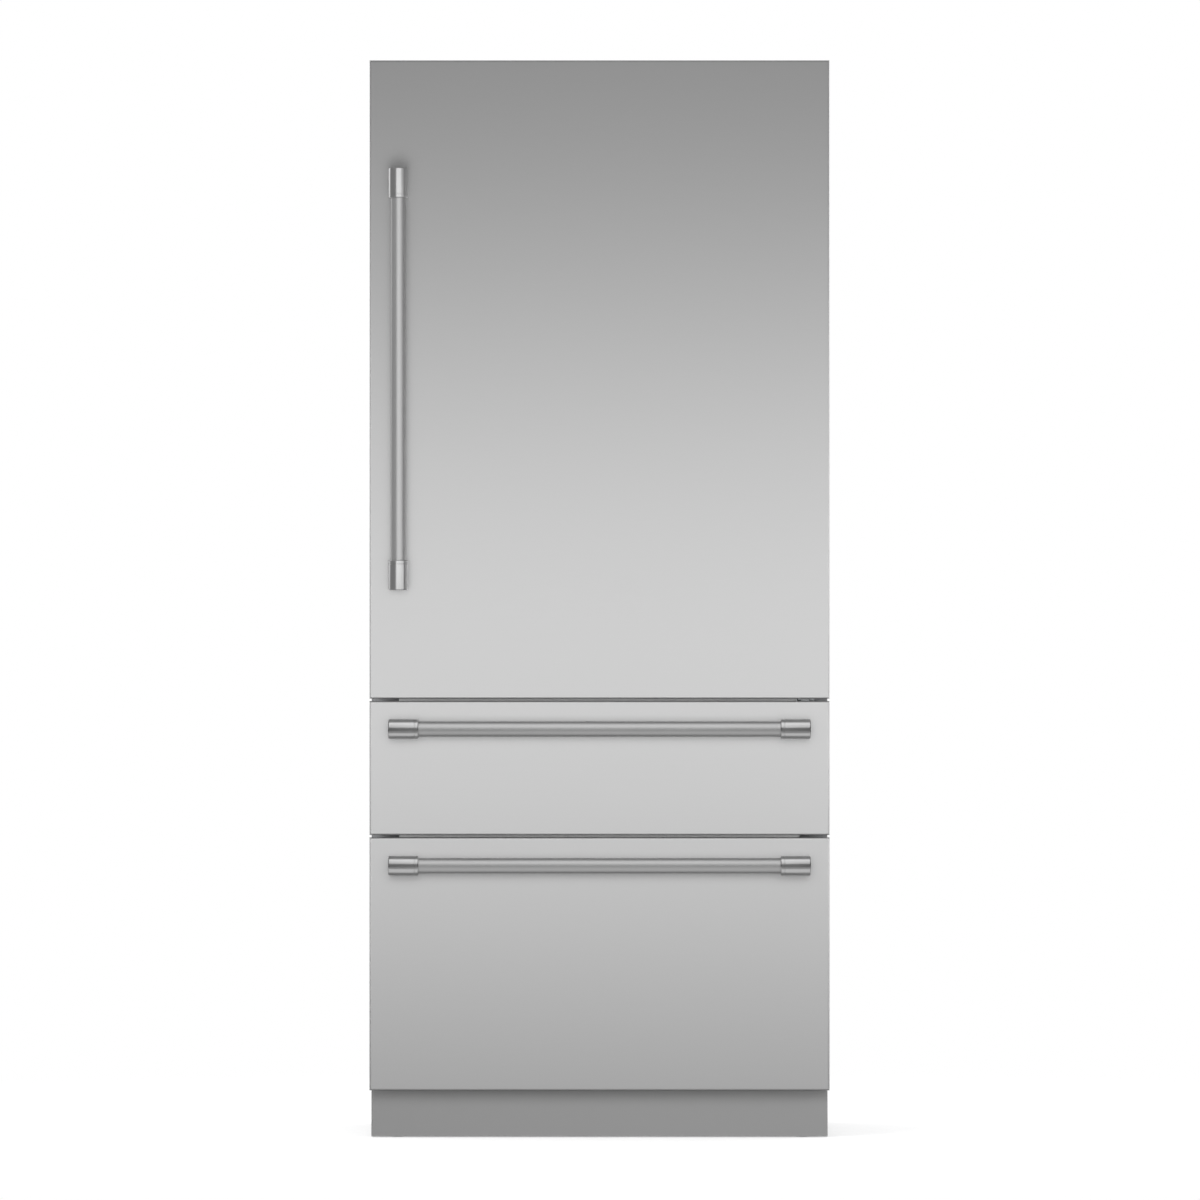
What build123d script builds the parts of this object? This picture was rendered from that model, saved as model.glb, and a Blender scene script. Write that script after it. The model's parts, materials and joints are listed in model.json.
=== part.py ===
from build123d import *
import os

os.makedirs("parts", exist_ok=True)

# Bottom freezer refrigerator, in millimetres. X runs across the fronts, Y from the fronts
# to the wall and Z up from the floor. The origin is on the floor, in the middle of the whole.

# Heights of the fronts, from the floor up
toe_height = 95
lower_panel_height = 499
upper_panel_height = 264
door_panel_height = 1259
panel_gap = 5

# Widths
panel_width = 908
cabinet_reveal = 3
body_inset = 10

# Depths, from the wall to the front
cabinet_depth = 560
seal_gap = 9
door_body_depth = 42
pan_depth = 19

# Cabinet walls
side_wall = 56
top_wall = 56
bottom_wall = 35
rear_wall = 60
divider_height = 85
mid_rail_height = 75
mid_rail_depth = 60
cabinet_top_drop = 9
sheet = 1
liner = 2
rail_depth = 20

# Machine room
machine_depth = 200
machine_top = 290
base_bottom = 50
shell_bottom = 20

# Door and drawer fronts
skin = 1.2
pan_bend_radius = 3
hem_cover = 2
door_body_inset = 16
drawer_body_inset = 8
pan_wall = 2.5
gasket_strip = 18
gasket_edge = 3

# Handles
handle_length = 831
handle_reach = 46
bar_radius = 15
sleeve_radius = 19.5
sleeve_length = 59
sleeve_bore_depth = 44
sleeve_chamfer = 1.5
post_radius = 11
door_handle_inset = 58
drawer_handle_drop = 54.5
door_handle_low = 214

# Hinges
pin_inset = 25
pin_to_pan = 11
pin_radius = 6
hinge_plate = 5
hinge_eye_radius = 9
hinge_arm_near = 4
hinge_arm_far = 40
hinge_pin_grip = 14
pin_end_gap = 1

# Drawer slides
slide_height = 45
slide_width = 12
slide_steel = 2
slide_front = 5
slide_rear_gap = 10
runner_web = 14
runner_shelf = 30

# Fridge and freezer fittings
shelf_front = 112
shelf_side_gap = 20
glass = 4
crisper_front = 105
duct_depth = 20
freezer_cover_depth = 80
cover_wall = 2.5

# Fits
fit = 0.05
gap = 0.3
slide_fit = 0.4

# Levels and planes that follow from the sizes above
z_lower0 = toe_height
z_lower1 = z_lower0 + lower_panel_height
z_upper0 = z_lower1 + panel_gap
z_upper1 = z_upper0 + upper_panel_height
z_door0 = z_upper1 + panel_gap
z_door1 = z_door0 + door_panel_height
z_cabinet = z_door1 - cabinet_top_drop
z_fridge1 = z_cabinet - top_wall
z_fridge0 = (z_upper1 + z_door0) / 2 + divider_height / 2
z_freezer1 = z_fridge0 - divider_height
z_mid0 = (z_lower1 + z_upper0) / 2 - mid_rail_height / 2
z_mid1 = z_mid0 + mid_rail_height
z_freezer0 = toe_height + bottom_wall

total_depth = cabinet_depth + seal_gap + door_body_depth + pan_depth + handle_reach + sleeve_radius
y_rear = total_depth / 2
y_flange = y_rear - cabinet_depth
y_back = y_flange - seal_gap
y_pan = y_back - door_body_depth
y_face = y_pan - pan_depth
y_handle = y_face - handle_reach

x_panel = panel_width / 2
x_body = x_panel - body_inset
x_cabinet = x_panel - cabinet_reveal
x_cavity = x_cabinet - side_wall
x_liner = x_cavity + liner
x_frame = x_cabinet - sheet
y_cavity = y_rear - rear_wall
freezer_cover_y = y_cavity - freezer_cover_depth

# The freezer's step over the machine room
y_machine = y_rear - machine_depth
y_step = y_machine - rear_wall
z_step = machine_top + rear_wall

x_pin = x_panel - pin_inset
y_pin = y_pan + pin_to_pan


def block(x0, x1, y0, y1, z0, z1, mode=Mode.ADD):
    """Square-edged block between two corners, in the part being built."""
    with Locations(((x0 + x1) / 2, (y0 + y1) / 2, (z0 + z1) / 2)):
        Box(x1 - x0, y1 - y0, z1 - z0, mode=mode)


def rect(x0, x1, y0, y1, mode=Mode.ADD):
    """Rectangle between two corners, in the sketch being drawn."""
    with Locations(((x0 + x1) / 2, (y0 + y1) / 2)):
        Rectangle(x1 - x0, y1 - y0, mode=mode)


def front_plane(y):
    """Upright plane at y, drawn as seen from the front: its normal points to the front."""
    return Plane.XZ.offset(-y)


def along_x(x, y, z):
    """Plane across X, centred on a point, with its own x axis pointing to the wall."""
    return Plane(origin=(x, y, z), x_dir=(0, 1, 0), z_dir=(1, 0, 0))


def along_y(x, y, z):
    """Plane across Y, centred on a point, facing the wall."""
    return Plane(origin=(x, y, z), x_dir=(-1, 0, 0), z_dir=(0, 1, 0))


def along_z(x, y, z):
    """Level plane, centred on a point."""
    return Plane(origin=(x, y, z), x_dir=(1, 0, 0), z_dir=(0, 0, 1))


def rod(place, radius, length, mode=Mode.ADD):
    """Round rod that starts on a plane and runs along its normal, or against it."""
    end = Align.MIN if length > 0 else Align.MAX
    with Locations(place):
        Cylinder(radius, abs(length), align=(Align.CENTER, Align.CENTER, end), mode=mode)


def save(piece, name):
    """Name a finished piece and write it."""
    piece.part.label = name
    export_step(piece.part, f"parts/{name}.step")


# CABINET

# Outer shell: side and top sheets in one wrapper, with a flange that the seals close on
with BuildPart() as outer_shell:
    with BuildSketch(front_plane(y_flange)):
        rect(-x_cabinet, x_cabinet, shell_bottom, z_cabinet)
        rect(-x_cabinet + sheet, x_cabinet - sheet, shell_bottom, z_cabinet - sheet, Mode.SUBTRACT)
    extrude(amount=-cabinet_depth)
    with BuildSketch(front_plane(y_flange)):
        rect(-x_cabinet, x_cabinet, toe_height, z_cabinet)
        rect(-x_liner, x_liner, toe_height, z_fridge1 + liner, Mode.SUBTRACT)
    extrude(amount=-sheet)
save(outer_shell, "outer_shell")

# Rear panel: back sheet, bent forward over the machine room and down to the base
with BuildPart() as rear_panel:
    with BuildSketch(Plane.YZ):
        rect(y_rear - sheet, y_rear, machine_top, z_cabinet - sheet)
        rect(y_machine - sheet, y_rear, machine_top, machine_top + sheet)
        rect(y_machine - sheet, y_machine, toe_height, machine_top)
    extrude(amount=x_cabinet - sheet, both=True)
save(rear_panel, "rear_panel")

# Fridge liner: moulded box with ledges for the crisper cover
ledge_width = 10
ledge_height = 8
ledge_top = 182
with BuildPart() as fridge_liner:
    block(-x_liner, x_liner, y_flange, y_cavity + liner, z_fridge0 - liner, z_fridge1 + liner)
    block(-x_cavity, x_cavity, y_flange, y_cavity, z_fridge0, z_fridge1, Mode.SUBTRACT)
    for x in (-x_cavity, x_cavity - ledge_width):
        block(
            x, x + ledge_width,
            y_flange + crisper_front, y_cavity - duct_depth,
            z_fridge0 + ledge_top - ledge_height, z_fridge0 + ledge_top,
        )
save(fridge_liner, "fridge_liner")


def freezer_section(grow, y_front):
    """Side view of the freezer's hollow, grown by a wall, with the step over the machine room."""
    Polygon(
        (y_front, z_freezer0 - grow),
        (y_step + grow, z_freezer0 - grow),
        (y_step + grow, z_step - grow),
        (y_cavity + grow, z_step - grow),
        (y_cavity + grow, z_freezer1 + grow),
        (y_front, z_freezer1 + grow),
        align=None,
    )


# Freezer liner
with BuildPart() as freezer_liner:
    with BuildSketch(Plane.YZ):
        freezer_section(liner, y_flange)
    extrude(amount=x_liner, both=True)
    with BuildSketch(Plane.YZ):
        freezer_section(0, y_flange)
    extrude(amount=x_cavity, both=True, mode=Mode.SUBTRACT)
save(freezer_liner, "freezer_liner")


def rail_channel(z0, z1):
    """Front rail bent from sheet into a channel that opens to the rear."""
    block(-x_liner, x_liner, y_flange, y_flange + rail_depth, z0, z1)
    block(-x_liner, x_liner, y_flange + sheet, y_flange + rail_depth, z0 + sheet, z1 - sheet, Mode.SUBTRACT)


# Front cross rails: fridge divider, rail between the drawers and bottom rail
divider_rail = (z_freezer1 + liner, z_fridge0 - liner)
bottom_rail = (toe_height, z_freezer0 - liner)
with BuildPart() as front_cross_rails:
    rail_channel(*divider_rail)
    rail_channel(*bottom_rail)
    block(-x_cavity, x_cavity, y_flange, y_flange + mid_rail_depth, z_mid0, z_mid1)
    block(
        -x_cavity, x_cavity,
        y_flange + pan_wall, y_flange + mid_rail_depth - pan_wall,
        z_mid0 + pan_wall, z_mid1 - pan_wall, Mode.SUBTRACT,
    )
save(front_cross_rails, "front_cross_rails")

# Cabinet insulation: foam that fills the walls between the shell and the liners
with BuildPart() as cabinet_insulation:
    block(
        -x_cabinet + sheet, x_cabinet - sheet, y_flange + sheet, y_rear - sheet,
        toe_height, z_cabinet - sheet,
    )
    block(-x_liner, x_liner, y_flange, y_cavity + liner, z_fridge0 - liner, z_fridge1 + liner, Mode.SUBTRACT)
    with BuildSketch(Plane.YZ):
        freezer_section(liner, y_flange)
    extrude(amount=x_liner, both=True, mode=Mode.SUBTRACT)
    block(
        -x_cabinet, x_cabinet, y_machine - sheet, y_rear,
        shell_bottom, machine_top + sheet, Mode.SUBTRACT,
    )
    for z0, z1 in (divider_rail, bottom_rail):
        block(-x_liner, x_liner, y_flange, y_flange + rail_depth, z0, z1, Mode.SUBTRACT)
        block(-x_liner, x_liner, y_flange + sheet, y_flange + rail_depth, z0 + sheet, z1 - sheet)
save(cabinet_insulation, "cabinet_insulation")

# Base frame: side channels, front channel, deck, machine tray and the rollers' forks
frame_steel = 2
channel_width = 25
front_channel = 40
tray_lip = 12
tray_inset = 5
y_tray = y_rear - tray_inset
tray_top = base_bottom + frame_steel

foot_x = x_frame - 50
foot_y = y_flange + front_channel / 2
foot_stem = 6
foot_pad = 20
foot_pad_height = 10
foot_boss = 12
foot_boss_height = 18
foot_chamfer = 2

roller_radius = 22
roller_width = 16
roller_x = x_frame - 60
roller_y = y_rear - 45
roller_side_gap = 1
axle_radius = 4
fork_steel = 3
fork_half = 14


def side_channel(side):
    """Side channel of the base, its web against the shell's side sheet."""
    inner, outer = side * (x_frame - channel_width), side * x_frame
    x0, x1 = min(inner, outer), max(inner, outer)
    block(x0, x1, y_flange, y_tray, base_bottom, toe_height - frame_steel)
    web = frame_steel if side < 0 else 0
    lip = frame_steel - web
    block(
        x0 + web, x1 - lip, y_flange, y_tray,
        base_bottom + frame_steel, toe_height - 2 * frame_steel, Mode.SUBTRACT,
    )


with BuildPart() as base_frame:
    for side in (-1, 1):
        side_channel(side)
    block(-x_frame, x_frame, y_flange, y_flange + front_channel, base_bottom, tray_top)
    block(-x_frame, x_frame, y_flange, y_flange + frame_steel, base_bottom, toe_height)
    block(-x_frame, x_frame, y_flange, y_machine, toe_height - frame_steel, toe_height)
    block(-x_frame, x_frame, y_machine - frame_steel, y_machine, base_bottom, toe_height)
    block(-x_frame, x_frame, y_machine - frame_steel, y_tray, base_bottom, tray_top)
    block(-x_frame, x_frame, y_tray - frame_steel, y_tray, base_bottom, base_bottom + tray_lip)
    for side in (-1, 1):
        rod(along_z(side * foot_x, foot_y, base_bottom), foot_boss, foot_boss_height)
        rod(
            along_z(side * foot_x, foot_y, base_bottom),
            foot_stem + fit, foot_boss_height, Mode.SUBTRACT,
        )
        ear = roller_width / 2 + roller_side_gap
        for offset in (-ear - fork_steel, ear):
            with BuildSketch(along_x(side * roller_x + offset, roller_y, roller_radius)):
                Circle(fork_half)
                rect(-fork_half, fork_half, 0, base_bottom - roller_radius)
            extrude(amount=fork_steel)
        rod(
            along_x(side * roller_x - ear - fork_steel, roller_y, roller_radius),
            axle_radius, 2 * (ear + fork_steel),
        )
save(base_frame, "base_frame")

# Front feet: threaded levelling feet in the front channel
foot_stem_top = toe_height - 3 * frame_steel
with BuildPart() as front_feet:
    for side in (-1, 1):
        rod(along_z(side * foot_x, foot_y, 0), foot_pad, foot_pad_height)
        rod(along_z(side * foot_x, foot_y, 0), foot_stem, foot_stem_top)
    chamfer(front_feet.edges().filter_by(GeomType.CIRCLE).group_by(Axis.Z)[1], foot_chamfer)
save(front_feet, "front_feet")

# Rear rollers, on one line
with BuildPart() as rear_rollers:
    for side in (-1, 1):
        place = along_x(side * roller_x - roller_width / 2, roller_y, roller_radius)
        rod(place, roller_radius, roller_width)
        rod(place, axle_radius + fit, roller_width, Mode.SUBTRACT)
save(rear_rollers, "rear_rollers")

# Toe kick: bent sheet, set back under the lower drawer
toe_setback = 50
toe_sheet = 1.5
toe_top_gap = 3
toe_floor_gap = 1.5
y_toe = y_face + toe_setback
with BuildPart() as toe_kick_panel:
    block(-x_cabinet, x_cabinet, y_toe, y_flange, toe_floor_gap, z_lower0 - toe_top_gap)
    fillet(toe_kick_panel.edges().filter_by(Axis.Z).group_by(Axis.Y)[0], toe_sheet)
    block(
        -x_cabinet + toe_sheet, x_cabinet - toe_sheet, y_toe + toe_sheet, y_flange,
        toe_floor_gap, z_lower0 - toe_top_gap - toe_sheet, Mode.SUBTRACT,
    )
save(toe_kick_panel, "toe_kick_panel")

# Machine cover: louvred sheet over the machine room, with a cut-out for the power inlet
inlet_x = x_frame - 90
inlet_z = machine_top - 45
inlet_width = 52
inlet_height = 34
inlet_depth = 30
cover_fit = 2
louvre_length = 90
louvre_height = 5
louvre_pitch = 14
louvre_rows = 10
louvre_columns = 5
louvre_z = 135
screw_radius = 2.6
screw_hole = 3.2
cover_screw_z = base_bottom + 7
cover_screw_x = x_frame - 120
cover_screws = [-cover_screw_x, 0, cover_screw_x]
with BuildPart() as machine_cover:
    block(
        -x_frame + cover_fit, x_frame - cover_fit, y_tray, y_tray + sheet,
        tray_top, machine_top,
    )
    with BuildSketch(front_plane(y_tray)):
        with Locations((0, louvre_z)):
            with GridLocations(louvre_length + louvre_pitch, louvre_pitch, louvre_columns, louvre_rows):
                SlotOverall(louvre_length, louvre_height)
        with Locations((inlet_x, inlet_z)):
            Rectangle(inlet_width + 2 * gap, inlet_height + 2 * gap)
        with Locations(*[(x, cover_screw_z) for x in cover_screws]):
            Circle(screw_hole)
    extrude(amount=-sheet, mode=Mode.SUBTRACT)
save(machine_cover, "machine_cover")

# Power inlet: socket with three blades, clipped into the machine cover from inside
inlet_rim = 4
socket_width = 26
socket_height = 18
socket_depth = 20
blade_width = 2
blade_height = 5
blade_length = 11
blade_pitch = 7
with BuildPart() as power_inlet:
    block(
        inlet_x - inlet_width / 2, inlet_x + inlet_width / 2, y_tray + sheet - inlet_depth, y_tray + sheet,
        inlet_z - inlet_height / 2, inlet_z + inlet_height / 2,
    )
    block(
        inlet_x - inlet_width / 2 - inlet_rim, inlet_x + inlet_width / 2 + inlet_rim,
        y_tray - frame_steel, y_tray,
        inlet_z - inlet_height / 2 - inlet_rim, inlet_z + inlet_height / 2 + inlet_rim,
    )
    socket_floor = y_tray + sheet - socket_depth
    block(
        inlet_x - socket_width / 2, inlet_x + socket_width / 2, socket_floor, y_tray + sheet,
        inlet_z - socket_height / 2, inlet_z + socket_height / 2, Mode.SUBTRACT,
    )
    for step in (-1, 0, 1):
        x = inlet_x + step * blade_pitch
        block(
            x - blade_width / 2, x + blade_width / 2, socket_floor, socket_floor + blade_length,
            inlet_z - blade_height / 2, inlet_z + blade_height / 2,
        )
save(power_inlet, "power_inlet")

# MACHINE ROOM

compressor_x = x_frame - 220
compressor_y = y_rear - 105
mount_height = 18
mount_radius = 13
mount_stem_rise = 4
foot_plate = (180, 110)
foot_plate_corner = 12
foot_plate_steel = 3
pot_radii = (70, 56)
pot_height = 150
pot_dome = 38
stub_radius = 6
stub_height = 8
mount_pitch = (146, 78)
terminal_width = 60
terminal_height = 60
terminal_rise = 20
terminal_y = (compressor_y + 42, compressor_y + 70)
z_pot = tray_top + mount_height + foot_plate_steel

# Compressor: domed steel pot on a foot plate, with a terminal box and a discharge stub
with BuildPart() as compressor:
    with BuildSketch(along_z(compressor_x, compressor_y, tray_top + mount_height)):
        RectangleRounded(*foot_plate, foot_plate_corner)
        with GridLocations(*mount_pitch, 2, 2):
            Circle(foot_stem, mode=Mode.SUBTRACT)
    extrude(amount=foot_plate_steel)
    with BuildSketch(along_z(compressor_x, compressor_y, z_pot)):
        Ellipse(*pot_radii)
    extrude(amount=pot_height)
    fillet(compressor.edges().group_by(Axis.Z)[-1], pot_dome)
    rod(along_z(compressor_x, compressor_y, z_pot), stub_radius, pot_height + stub_height)
    block(
        compressor_x - terminal_width / 2, compressor_x + terminal_width / 2, *terminal_y,
        z_pot + terminal_rise, z_pot + terminal_rise + terminal_height,
    )
save(compressor, "compressor")

# Rubber mounts under the compressor's foot plate
with BuildPart() as rubber_mounts:
    with BuildSketch(along_z(compressor_x, compressor_y, tray_top)):
        with GridLocations(*mount_pitch, 2, 2):
            Circle(mount_radius)
    extrude(amount=mount_height)
    with BuildSketch(along_z(compressor_x, compressor_y, tray_top + mount_height)):
        with GridLocations(*mount_pitch, 2, 2):
            Circle(foot_stem - gap)
    extrude(amount=foot_plate_steel + mount_stem_rise)
save(rubber_mounts, "rubber_mounts")

# Condenser: upright fins on tubes that run between two end plates standing on the tray
condenser_length = 250
condenser_x = (-x_frame + 30, -x_frame + 30 + condenser_length)
condenser_y = (y_machine + 18, y_rear - 40)
condenser_z = (tray_top + 40, machine_top - 48)
fin_steel = 0.8
fin_pitch = 9
tube_radius = 4
tube_columns = 4
tube_rows = 3
tube_pitch = (60, 48)
stub_inset = 25
stub_x = (condenser_x[0] + stub_inset, condenser_x[1] - stub_inset)
with BuildPart() as condenser_coil:
    for y in (condenser_y[0], condenser_y[1] - frame_steel):
        block(condenser_x[0], condenser_x[1], y, y + frame_steel, tray_top, condenser_z[1])
    fins = int((condenser_y[1] - condenser_y[0]) / fin_pitch) - 1
    for n in range(fins):
        y = condenser_y[0] + (n + 1) * fin_pitch
        block(condenser_x[0], condenser_x[1], y, y + fin_steel, condenser_z[0], condenser_z[1])
    with BuildSketch(along_y((condenser_x[0] + condenser_x[1]) / 2, condenser_y[0], sum(condenser_z) / 2)):
        with GridLocations(*tube_pitch, tube_columns, tube_rows):
            Circle(tube_radius)
    extrude(amount=condenser_y[1] - condenser_y[0])
    for x in stub_x:
        rod(
            along_z(x, condenser_y[1] - frame_steel / 2 - tube_radius, condenser_z[1] - 2 * tube_radius),
            tube_radius, 2 * tube_radius + stub_height,
        )
save(condenser_coil, "condenser_coil")

# Drain pan between the condenser's end plates, under the fins
pan_side_gap = 5
pan_height = 24
with BuildPart() as drain_pan:
    pan_box = (
        condenser_x[0], condenser_x[1],
        condenser_y[0] + frame_steel + pan_side_gap, condenser_y[1] - frame_steel - pan_side_gap,
    )
    block(*pan_box, tray_top, tray_top + pan_height)
    block(
        pan_box[0] + liner, pan_box[1] - liner, pan_box[2] + liner, pan_box[3] - liner,
        tray_top + liner, tray_top + pan_height, Mode.SUBTRACT,
    )
save(drain_pan, "drain_pan")

# Fan shroud: upright plate with a collar, and the fan's motor on four struts
shroud_x = condenser_x[1] + 60
shroud_half = 85
shroud_top = machine_top - 28
fan_radius = 62
fan_tip_gap = 5
fan_z = 160
fan_y = y_rear - 110
collar_depth = 24
motor_radius = 22
motor_length = 34
motor_setback = 14
shaft_radius = 3
strut = 6
strut_offset = 13
hub_radius = 18
hub_length = 16
hub_gap = 2
blades = 5
blade_root = 2
blade_corner = 4
blade_chord_ratio = 0.62
blade_pitch = 12
with BuildPart() as fan_shroud:
    block(shroud_x, shroud_x + liner, fan_y - shroud_half, fan_y + shroud_half, tray_top, shroud_top)
    rod(along_x(shroud_x, fan_y, fan_z), fan_radius + fan_tip_gap + liner, collar_depth)
    rod(along_x(shroud_x, fan_y, fan_z), fan_radius + fan_tip_gap, collar_depth, Mode.SUBTRACT)
    rod(along_x(shroud_x - motor_setback, fan_y, fan_z), motor_radius, -motor_length)
    for across in (-1, 1):
        side = across * strut_offset
        block(
            shroud_x - motor_setback - strut, shroud_x - motor_setback,
            fan_y - shroud_half, fan_y + shroud_half, fan_z + side - strut / 2, fan_z + side + strut / 2,
        )
        block(
            shroud_x - motor_setback - strut, shroud_x,
            fan_y + across * shroud_half - (strut if across > 0 else 0),
            fan_y + across * shroud_half + (strut if across < 0 else 0),
            fan_z - motor_radius, fan_z + motor_radius,
        )
    rod(
        along_x(shroud_x - motor_setback, fan_y, fan_z),
        shaft_radius, motor_setback + hub_gap + hub_length,
    )
save(fan_shroud, "fan_shroud")


def fan(hub_place, tip_radius):
    """Axial fan on a bored hub that starts on a plane."""
    with BuildPart() as rotor:
        rod(hub_place, hub_radius, hub_length)
        blade_length = tip_radius - hub_radius + blade_root
        with Locations(hub_place.offset(hub_length / 2)):
            with PolarLocations(hub_radius - blade_root + blade_length / 2, blades):
                Box(blade_length, tip_radius * blade_chord_ratio, liner, rotation=(blade_pitch, 0, 0))
        rod(hub_place, shaft_radius + fit, hub_length, Mode.SUBTRACT)
    return rotor


condenser_fan = fan(along_x(shroud_x + hub_gap, fan_y, fan_z), fan_radius - blade_corner)
save(condenser_fan, "condenser_fan")

# Refrigerant pipes: discharge, liquid line with its filter drier, and suction line
pipe_radius = 4
bend_radius = 14
pipe_run = 42
z_pipe = machine_top - 10
drier_x = x_frame - 100
drier_y = y_machine + 35
drier_radius = 11
drier_length = 90
drier_z = (z_pipe - 70 - drier_length, z_pipe - 70)


def pipe(*points):
    """Pipe along straight runs with rounded corners."""
    with BuildLine() as path:
        FilletPolyline(*points, radius=bend_radius)
    with BuildSketch(Plane(origin=path.line @ 0, z_dir=path.line % 0)) as section:
        Circle(pipe_radius)
    sweep(section.sketch, path=path.line)


stub_y = condenser_y[1] - frame_steel / 2 - tube_radius
z_stub = condenser_z[1] + stub_height
with BuildPart() as refrigerant_pipes:
    pipe(
        (compressor_x, compressor_y, z_pot + pot_height + stub_height),
        (compressor_x, compressor_y, z_pipe),
        (stub_x[1], compressor_y, z_pipe),
        (stub_x[1], stub_y, z_pipe),
        (stub_x[1], stub_y, z_stub),
    )
    pipe(
        (stub_x[0], stub_y, z_stub),
        (stub_x[0], stub_y, z_pipe),
        (stub_x[0], drier_y, z_pipe),
        (drier_x, drier_y, z_pipe),
        (drier_x, drier_y, drier_z[1]),
    )
    rod(along_z(drier_x, drier_y, drier_z[0]), drier_radius, drier_z[1] - drier_z[0])
    pipe(
        (drier_x, drier_y, drier_z[0]),
        (drier_x, drier_y, drier_z[0] - pipe_run),
        (drier_x + pipe_run, drier_y, drier_z[0] - pipe_run),
        (drier_x + pipe_run, drier_y, machine_top),
    )
save(refrigerant_pipes, "refrigerant_pipes")

# FREEZER COOLING

# Evaporator: fins on tubes, on end plates that stand off the liner's rear wall
evaporator_half = x_cavity - 75
evaporator_y = (y_cavity - 64, y_cavity - 6)
evaporator_height = 200
evaporator_z = (z_step + 22, z_step + 22 + evaporator_height)
evaporator_fin_pitch = 20
evaporator_tube_pitch = (26, 36)
evaporator_tubes = (2, 5)
with BuildPart() as evaporator_coil:
    for x in (-evaporator_half, evaporator_half - frame_steel):
        block(x, x + frame_steel, evaporator_y[0], y_cavity, evaporator_z[0], evaporator_z[1])
    fins = int(2 * evaporator_half / evaporator_fin_pitch) - 1
    for n in range(fins):
        x = -evaporator_half + (n + 1) * evaporator_fin_pitch
        block(x, x + fin_steel, *evaporator_y, *evaporator_z)
    with BuildSketch(along_x(-evaporator_half, sum(evaporator_y) / 2, sum(evaporator_z) / 2)):
        with GridLocations(*evaporator_tube_pitch, *evaporator_tubes):
            Circle(tube_radius)
    extrude(amount=2 * evaporator_half)
save(evaporator_coil, "evaporator_coil")

# Duct covers: freezer rear cover with the fan's motor behind it, and the fridge's air duct
freezer_fan_radius = 52
freezer_fan_z = z_freezer1 - 105
grille_slot = (110, 6)
grille_pitch = 14
grille_rows = 3
return_columns = 5
return_column_pitch = 130
return_z = z_step + 30
supply_x = x_cavity - 145
supply_z = freezer_fan_z + 60
guard_rings = (10, 26, 42)
guard_wire = 4
guard_bar = 5
guard_diameter = 2 * (freezer_fan_radius + fan_tip_gap)
fridge_duct_half = 125
fridge_duct_z = (z_fridge0 + 212, z_fridge1 - 25)
duct_slot = (60, 6)
duct_slot_pitch = (150, 200)
duct_slot_places = (2, 4)
with BuildPart() as duct_covers:
    block(-x_cavity, x_cavity, freezer_cover_y, freezer_cover_y + cover_wall, z_step, z_freezer1)
    with BuildSketch(front_plane(freezer_cover_y)):
        with Locations((0, return_z)):
            with GridLocations(return_column_pitch, grille_pitch, return_columns, grille_rows):
                SlotOverall(*grille_slot)
        with Locations((-supply_x, supply_z), (supply_x, supply_z)):
            with GridLocations(0, grille_pitch, 1, grille_rows):
                SlotOverall(*grille_slot)
        with Locations((0, freezer_fan_z)):
            Circle(guard_diameter / 2)
            for ring in guard_rings:
                Circle(ring + guard_wire, mode=Mode.SUBTRACT)
                Circle(ring, mode=Mode.ADD)
            Rectangle(guard_diameter, guard_bar, mode=Mode.SUBTRACT)
            Rectangle(guard_bar, guard_diameter, mode=Mode.SUBTRACT)
    extrude(amount=-cover_wall, mode=Mode.SUBTRACT)
    hub_y = freezer_cover_y + cover_wall + 2 * hub_gap
    fan_motor_y = hub_y + hub_length + gap
    rod(along_y(0, fan_motor_y, freezer_fan_z), motor_radius, y_cavity - fan_motor_y)
    rod(along_y(0, fan_motor_y, freezer_fan_z), shaft_radius, -hub_length - hub_gap)
    block(
        -fridge_duct_half, fridge_duct_half, y_cavity - duct_depth, y_cavity,
        fridge_duct_z[0], fridge_duct_z[1],
    )
    block(
        -fridge_duct_half + cover_wall, fridge_duct_half - cover_wall,
        y_cavity - duct_depth + cover_wall, y_cavity,
        fridge_duct_z[0] + cover_wall, fridge_duct_z[1] - cover_wall, Mode.SUBTRACT,
    )
    with BuildSketch(front_plane(y_cavity - duct_depth)):
        with Locations((0, sum(fridge_duct_z) / 2)):
            with GridLocations(*duct_slot_pitch, *duct_slot_places):
                with GridLocations(0, grille_pitch, 1, grille_rows):
                    SlotOverall(*duct_slot)
    extrude(amount=-cover_wall, mode=Mode.SUBTRACT)
save(duct_covers, "duct_covers")

evaporator_fan = fan(along_y(0, hub_y, freezer_fan_z), freezer_fan_radius - blade_corner)
save(evaporator_fan, "evaporator_fan")

# FRIDGE FITTINGS

ladder_x = 200
ladder_width = 22
ladder_depth = 10
ladder_pitch = 25
ladder_slot = (4, 14)
shelf_levels = [490, 680, 870]
shelf_rear_gap = 28
shelf_half = x_cavity - shelf_side_gap
arm_steel = 2.5
arm_setback = 20
arm_front_height = 12
arm_rear_height = 40
trim_lip = 6
ladder_z = fridge_duct_z

# Shelf ladders: slotted steel channels on the rear wall
with BuildPart() as shelf_ladders:
    for side in (-1, 1):
        x = side * ladder_x
        block(x - ladder_width / 2, x + ladder_width / 2, y_cavity - ladder_depth, y_cavity, *ladder_z)
        block(
            x - ladder_width / 2 + liner, x + ladder_width / 2 - liner,
            y_cavity - ladder_depth + liner, y_cavity, *ladder_z, Mode.SUBTRACT,
        )
    slots = int((ladder_z[1] - ladder_z[0]) / ladder_pitch) - 1
    with BuildSketch(front_plane(y_cavity - ladder_depth)):
        with Locations((0, sum(ladder_z) / 2)):
            with GridLocations(2 * ladder_x, ladder_pitch, 2, slots):
                Rectangle(*ladder_slot)
    extrude(amount=-liner, mode=Mode.SUBTRACT)
save(shelf_ladders, "shelf_ladders")

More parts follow.
